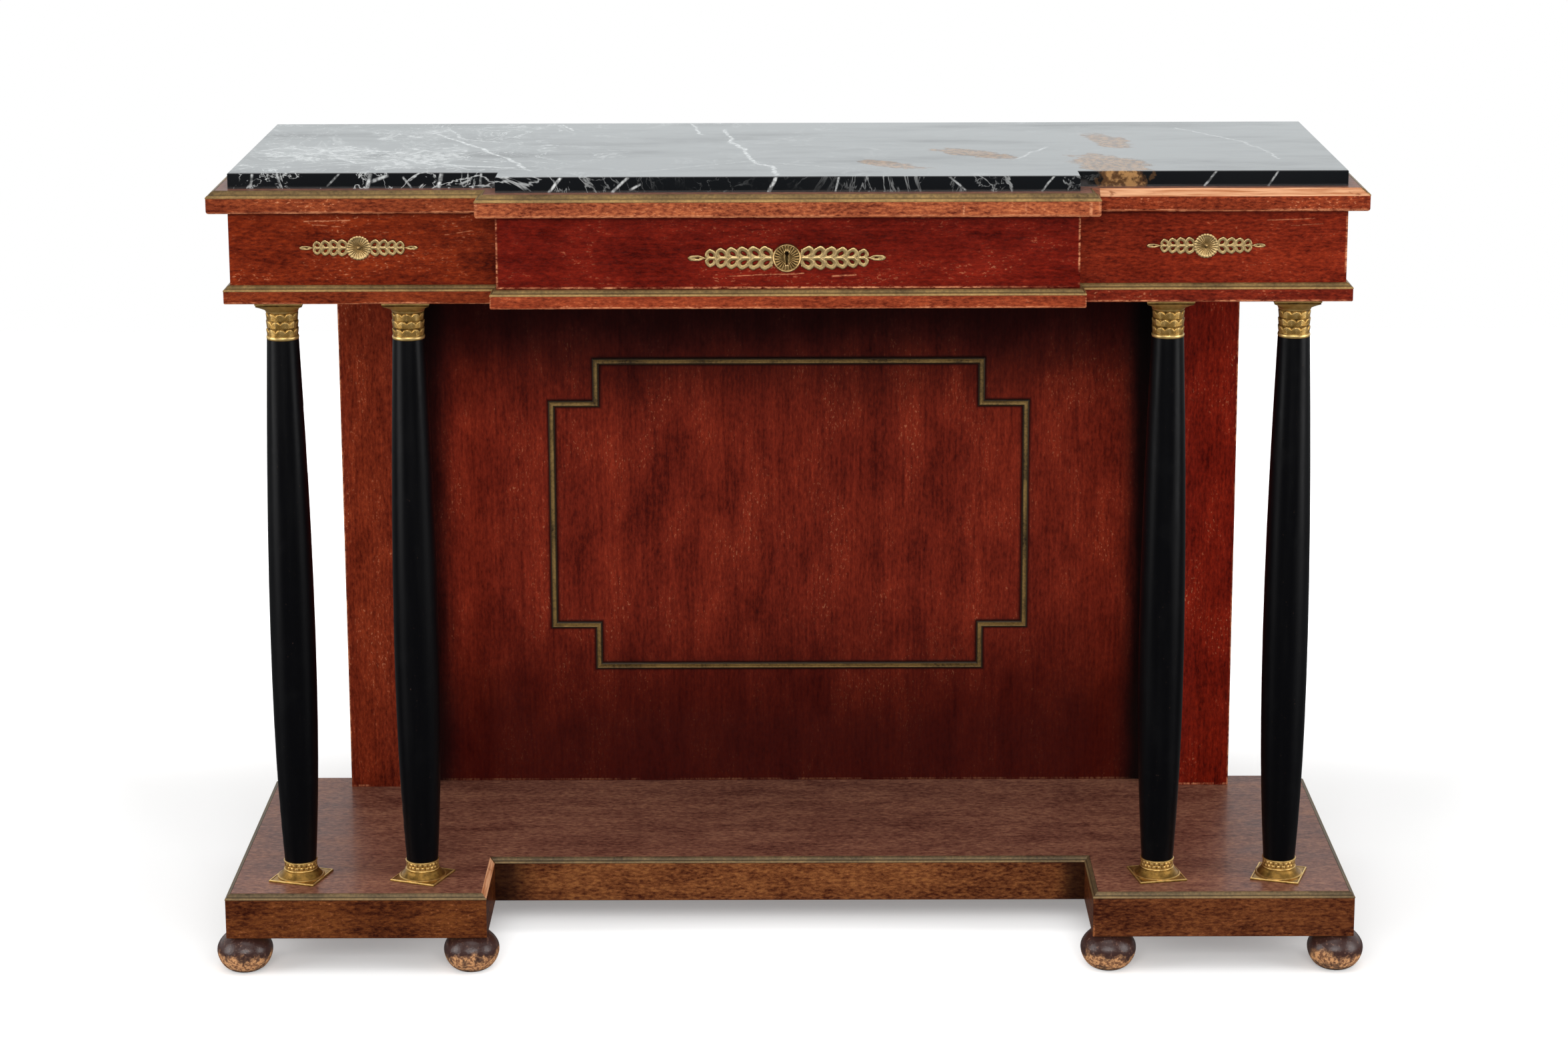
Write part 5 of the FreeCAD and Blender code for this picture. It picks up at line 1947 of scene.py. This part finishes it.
@dataclass
class Studio:
    """The pale floor, the soft light and the camera. Sizes are metres."""

    lens: float = 80.0
    sensor: float = 36.0
    shift_y: float = -0.09
    eye: tuple[float, float, float] = (0.0042, -4.4906, 1.7204)
    right: tuple[float, float, float] = (1.0, 0.00157, -0.00306)
    up: tuple[float, float, float] = (0.00266, 0.21295, 0.97707)
    ahead: tuple[float, float, float] = (-0.00218, 0.97707, -0.21294)
    aim: tuple[float, float, float] = (0.0, 0.0, 0.6)
    lamps: tuple[Lamp, ...] = (
        Lamp("box_left", (-3.3, -1.3, 1.1), (1.6, 2.4), 52.0),
        Lamp("box_right", (3.3, -1.3, 1.1), (1.6, 2.4), 52.0),
        Lamp("box_front", (0.0, -4.4, 2.4), (3.4, 1.4), 100.0),
        Lamp("box_top", (0.0, -1.2, 3.8), (3.0, 2.0), 32.0),
    )
    floor_side: float = 5.0
    floor_front: float = -1.8
    floor_back: float = 4.0

    def build(self) -> None:
        """Set the camera, the lamps, the floor and the world."""
        self._camera()
        self._lamps()
        self._floor()
        self._world()
        bpy.context.scene.view_settings.view_transform = "Standard"
        LOG.info("studio set")

    def _camera(self) -> None:
        """Place the camera."""
        camera = bpy.data.cameras.new("camera")
        camera.lens, camera.sensor_width, camera.shift_y = self.lens, self.sensor, self.shift_y
        holder = bpy.data.objects.new("camera", camera)
        matrix = Matrix((Vector(self.right), Vector(self.up), -Vector(self.ahead))).transposed().to_4x4()
        matrix.translation = Vector(self.eye)
        holder.matrix_world = matrix
        bpy.context.scene.collection.objects.link(holder)
        bpy.context.scene.camera = holder

    def _lamps(self) -> None:
        """Hang the soft boxes and turn them to the table."""
        for box in self.lamps:
            lamp = bpy.data.lights.new(box.name, "AREA")
            lamp.shape = "RECTANGLE"
            lamp.size, lamp.size_y = box.size
            lamp.energy = box.power
            holder = bpy.data.objects.new(box.name, lamp)
            holder.location = box.place
            aim = Vector(self.aim) - Vector(box.place)
            holder.rotation_euler = aim.to_track_quat("-Z", "Y").to_euler()
            bpy.context.scene.collection.objects.link(holder)

    def _floor(self) -> None:
        """Lay the floor, white to the camera but for the object's shadow, with a painted pool of light
        lifting the shadow in front of the recess.
        """
        side, front, back = self.floor_side, self.floor_front, self.floor_back
        corners = ((-side, front, 0), (side, front, 0), (side, back, 0), (-side, back, 0))
        form = Form()
        form.faces.append(tuple(form.add(Vector(corner)) for corner in corners))
        material = bpy.data.materials.new("floor_paper")
        material.use_nodes = True
        graph = Graph(material.node_tree)
        x, y, z = graph.axes()
        mottle = graph.noise(graph.vector(x, y, z), 3.0)
        tone = graph.mix(mottle, (0.90, 0.90, 0.90), (0.92, 0.92, 0.91))
        paper = graph.node("BsdfDiffuse", None, {"Color": tone})
        # Painted pool of light on the floor in front of the recess, lifting the shadow there.
        recess = abs(x).ease(0.44, 0.36) * y.ease(0.03, -0.05) * 0.4
        away = abs(x).ease(0.95, 1.6).most(abs(y).ease(0.5, 1.2)).most(recess)
        glow = graph.node("Emission", None, {"Color": graph.mix(away, (0.24, 0.24, 0.24), (1.0, 1.0, 1.0))})
        lit = graph.node("AddShader", None, {0: paper, 1: glow})
        rays = graph.node("LightPath", output="Is Camera Ray")
        shader = graph.node("MixShader", None, {0: rays, 1: paper, 2: lit})
        dark = graph.node("Emission", None, {"Color": (0.1, 0.1, 0.1)})
        shader = graph.node("MixShader", None, {0: rays.sibling("Is Glossy Ray"), 1: shader, 2: dark})
        graph.node("OutputMaterial", None, {"Surface": shader})
        form.make("floor", material)

    def _world(self) -> None:
        """Fill the world with white for the camera and softer light for the object."""
        world = bpy.data.worlds.new("studio")
        bpy.context.scene.world = world
        world.use_nodes = True
        graph = Graph(world.node_tree)
        way = graph.node("SeparateXYZ", None, {0: graph.node("TexCoord", output="Generated")})
        rays = graph.node("LightPath", output="Is Camera Ray")
        seen = rays.most(rays.sibling("Is Transmission Ray"))
        glossy = rays.sibling("Is Glossy Ray")
        mirror = way.sibling(1).ease(-0.35, 0.9) * 0.92 + 0.08
        strength = graph.blend(seen, graph.blend(glossy, 0.5, mirror), 1.0)
        tint = graph.mix(glossy, (1.0, 1.0, 1.0), (0.94, 0.985, 1.0))
        shader = graph.node("Background", None, {"Color": tint, "Strength": strength})
        graph.node("OutputWorld", None, {"Surface": shader})


# ------------------------------------------------------------------ the whole table

def main() -> None:
    """Build the table's looks and the studio."""
    logging.basicConfig(level=logging.INFO, format="%(name)s: %(message)s")
    Studio().build()
    gilding = GiltBronze().material("gilt_bronze")
    dull = GiltBronze(rgb(214, 184, 130), rgb(146, 114, 66), rgb(42, 30, 16), roughness=0.4)
    mounting = dull.material("mount_bronze")
    MarbleTop().build()
    woodwork = Woodwork()
    woodwork.build()
    woodwork.dress_inside()
    Metalwork().build()
    Columns().build(gilding)
    BunFeet().build(FootLacquer().material("foot_lacquer"))
    for side in ("left", "right"):
        LeafMount(f"side_mount_{side}", "carcase", pairs=4, rosette=0.0155, band=0.013).build(mounting)
    LeafMount(
        "drawer_escutcheon", "drawer", pairs=6, rosette=0.01825, band=0.0205,
        keyhole=(0.0016, 0.0026, 0.0166),
    ).build(mounting)


if __name__ == "__main__":
    main()
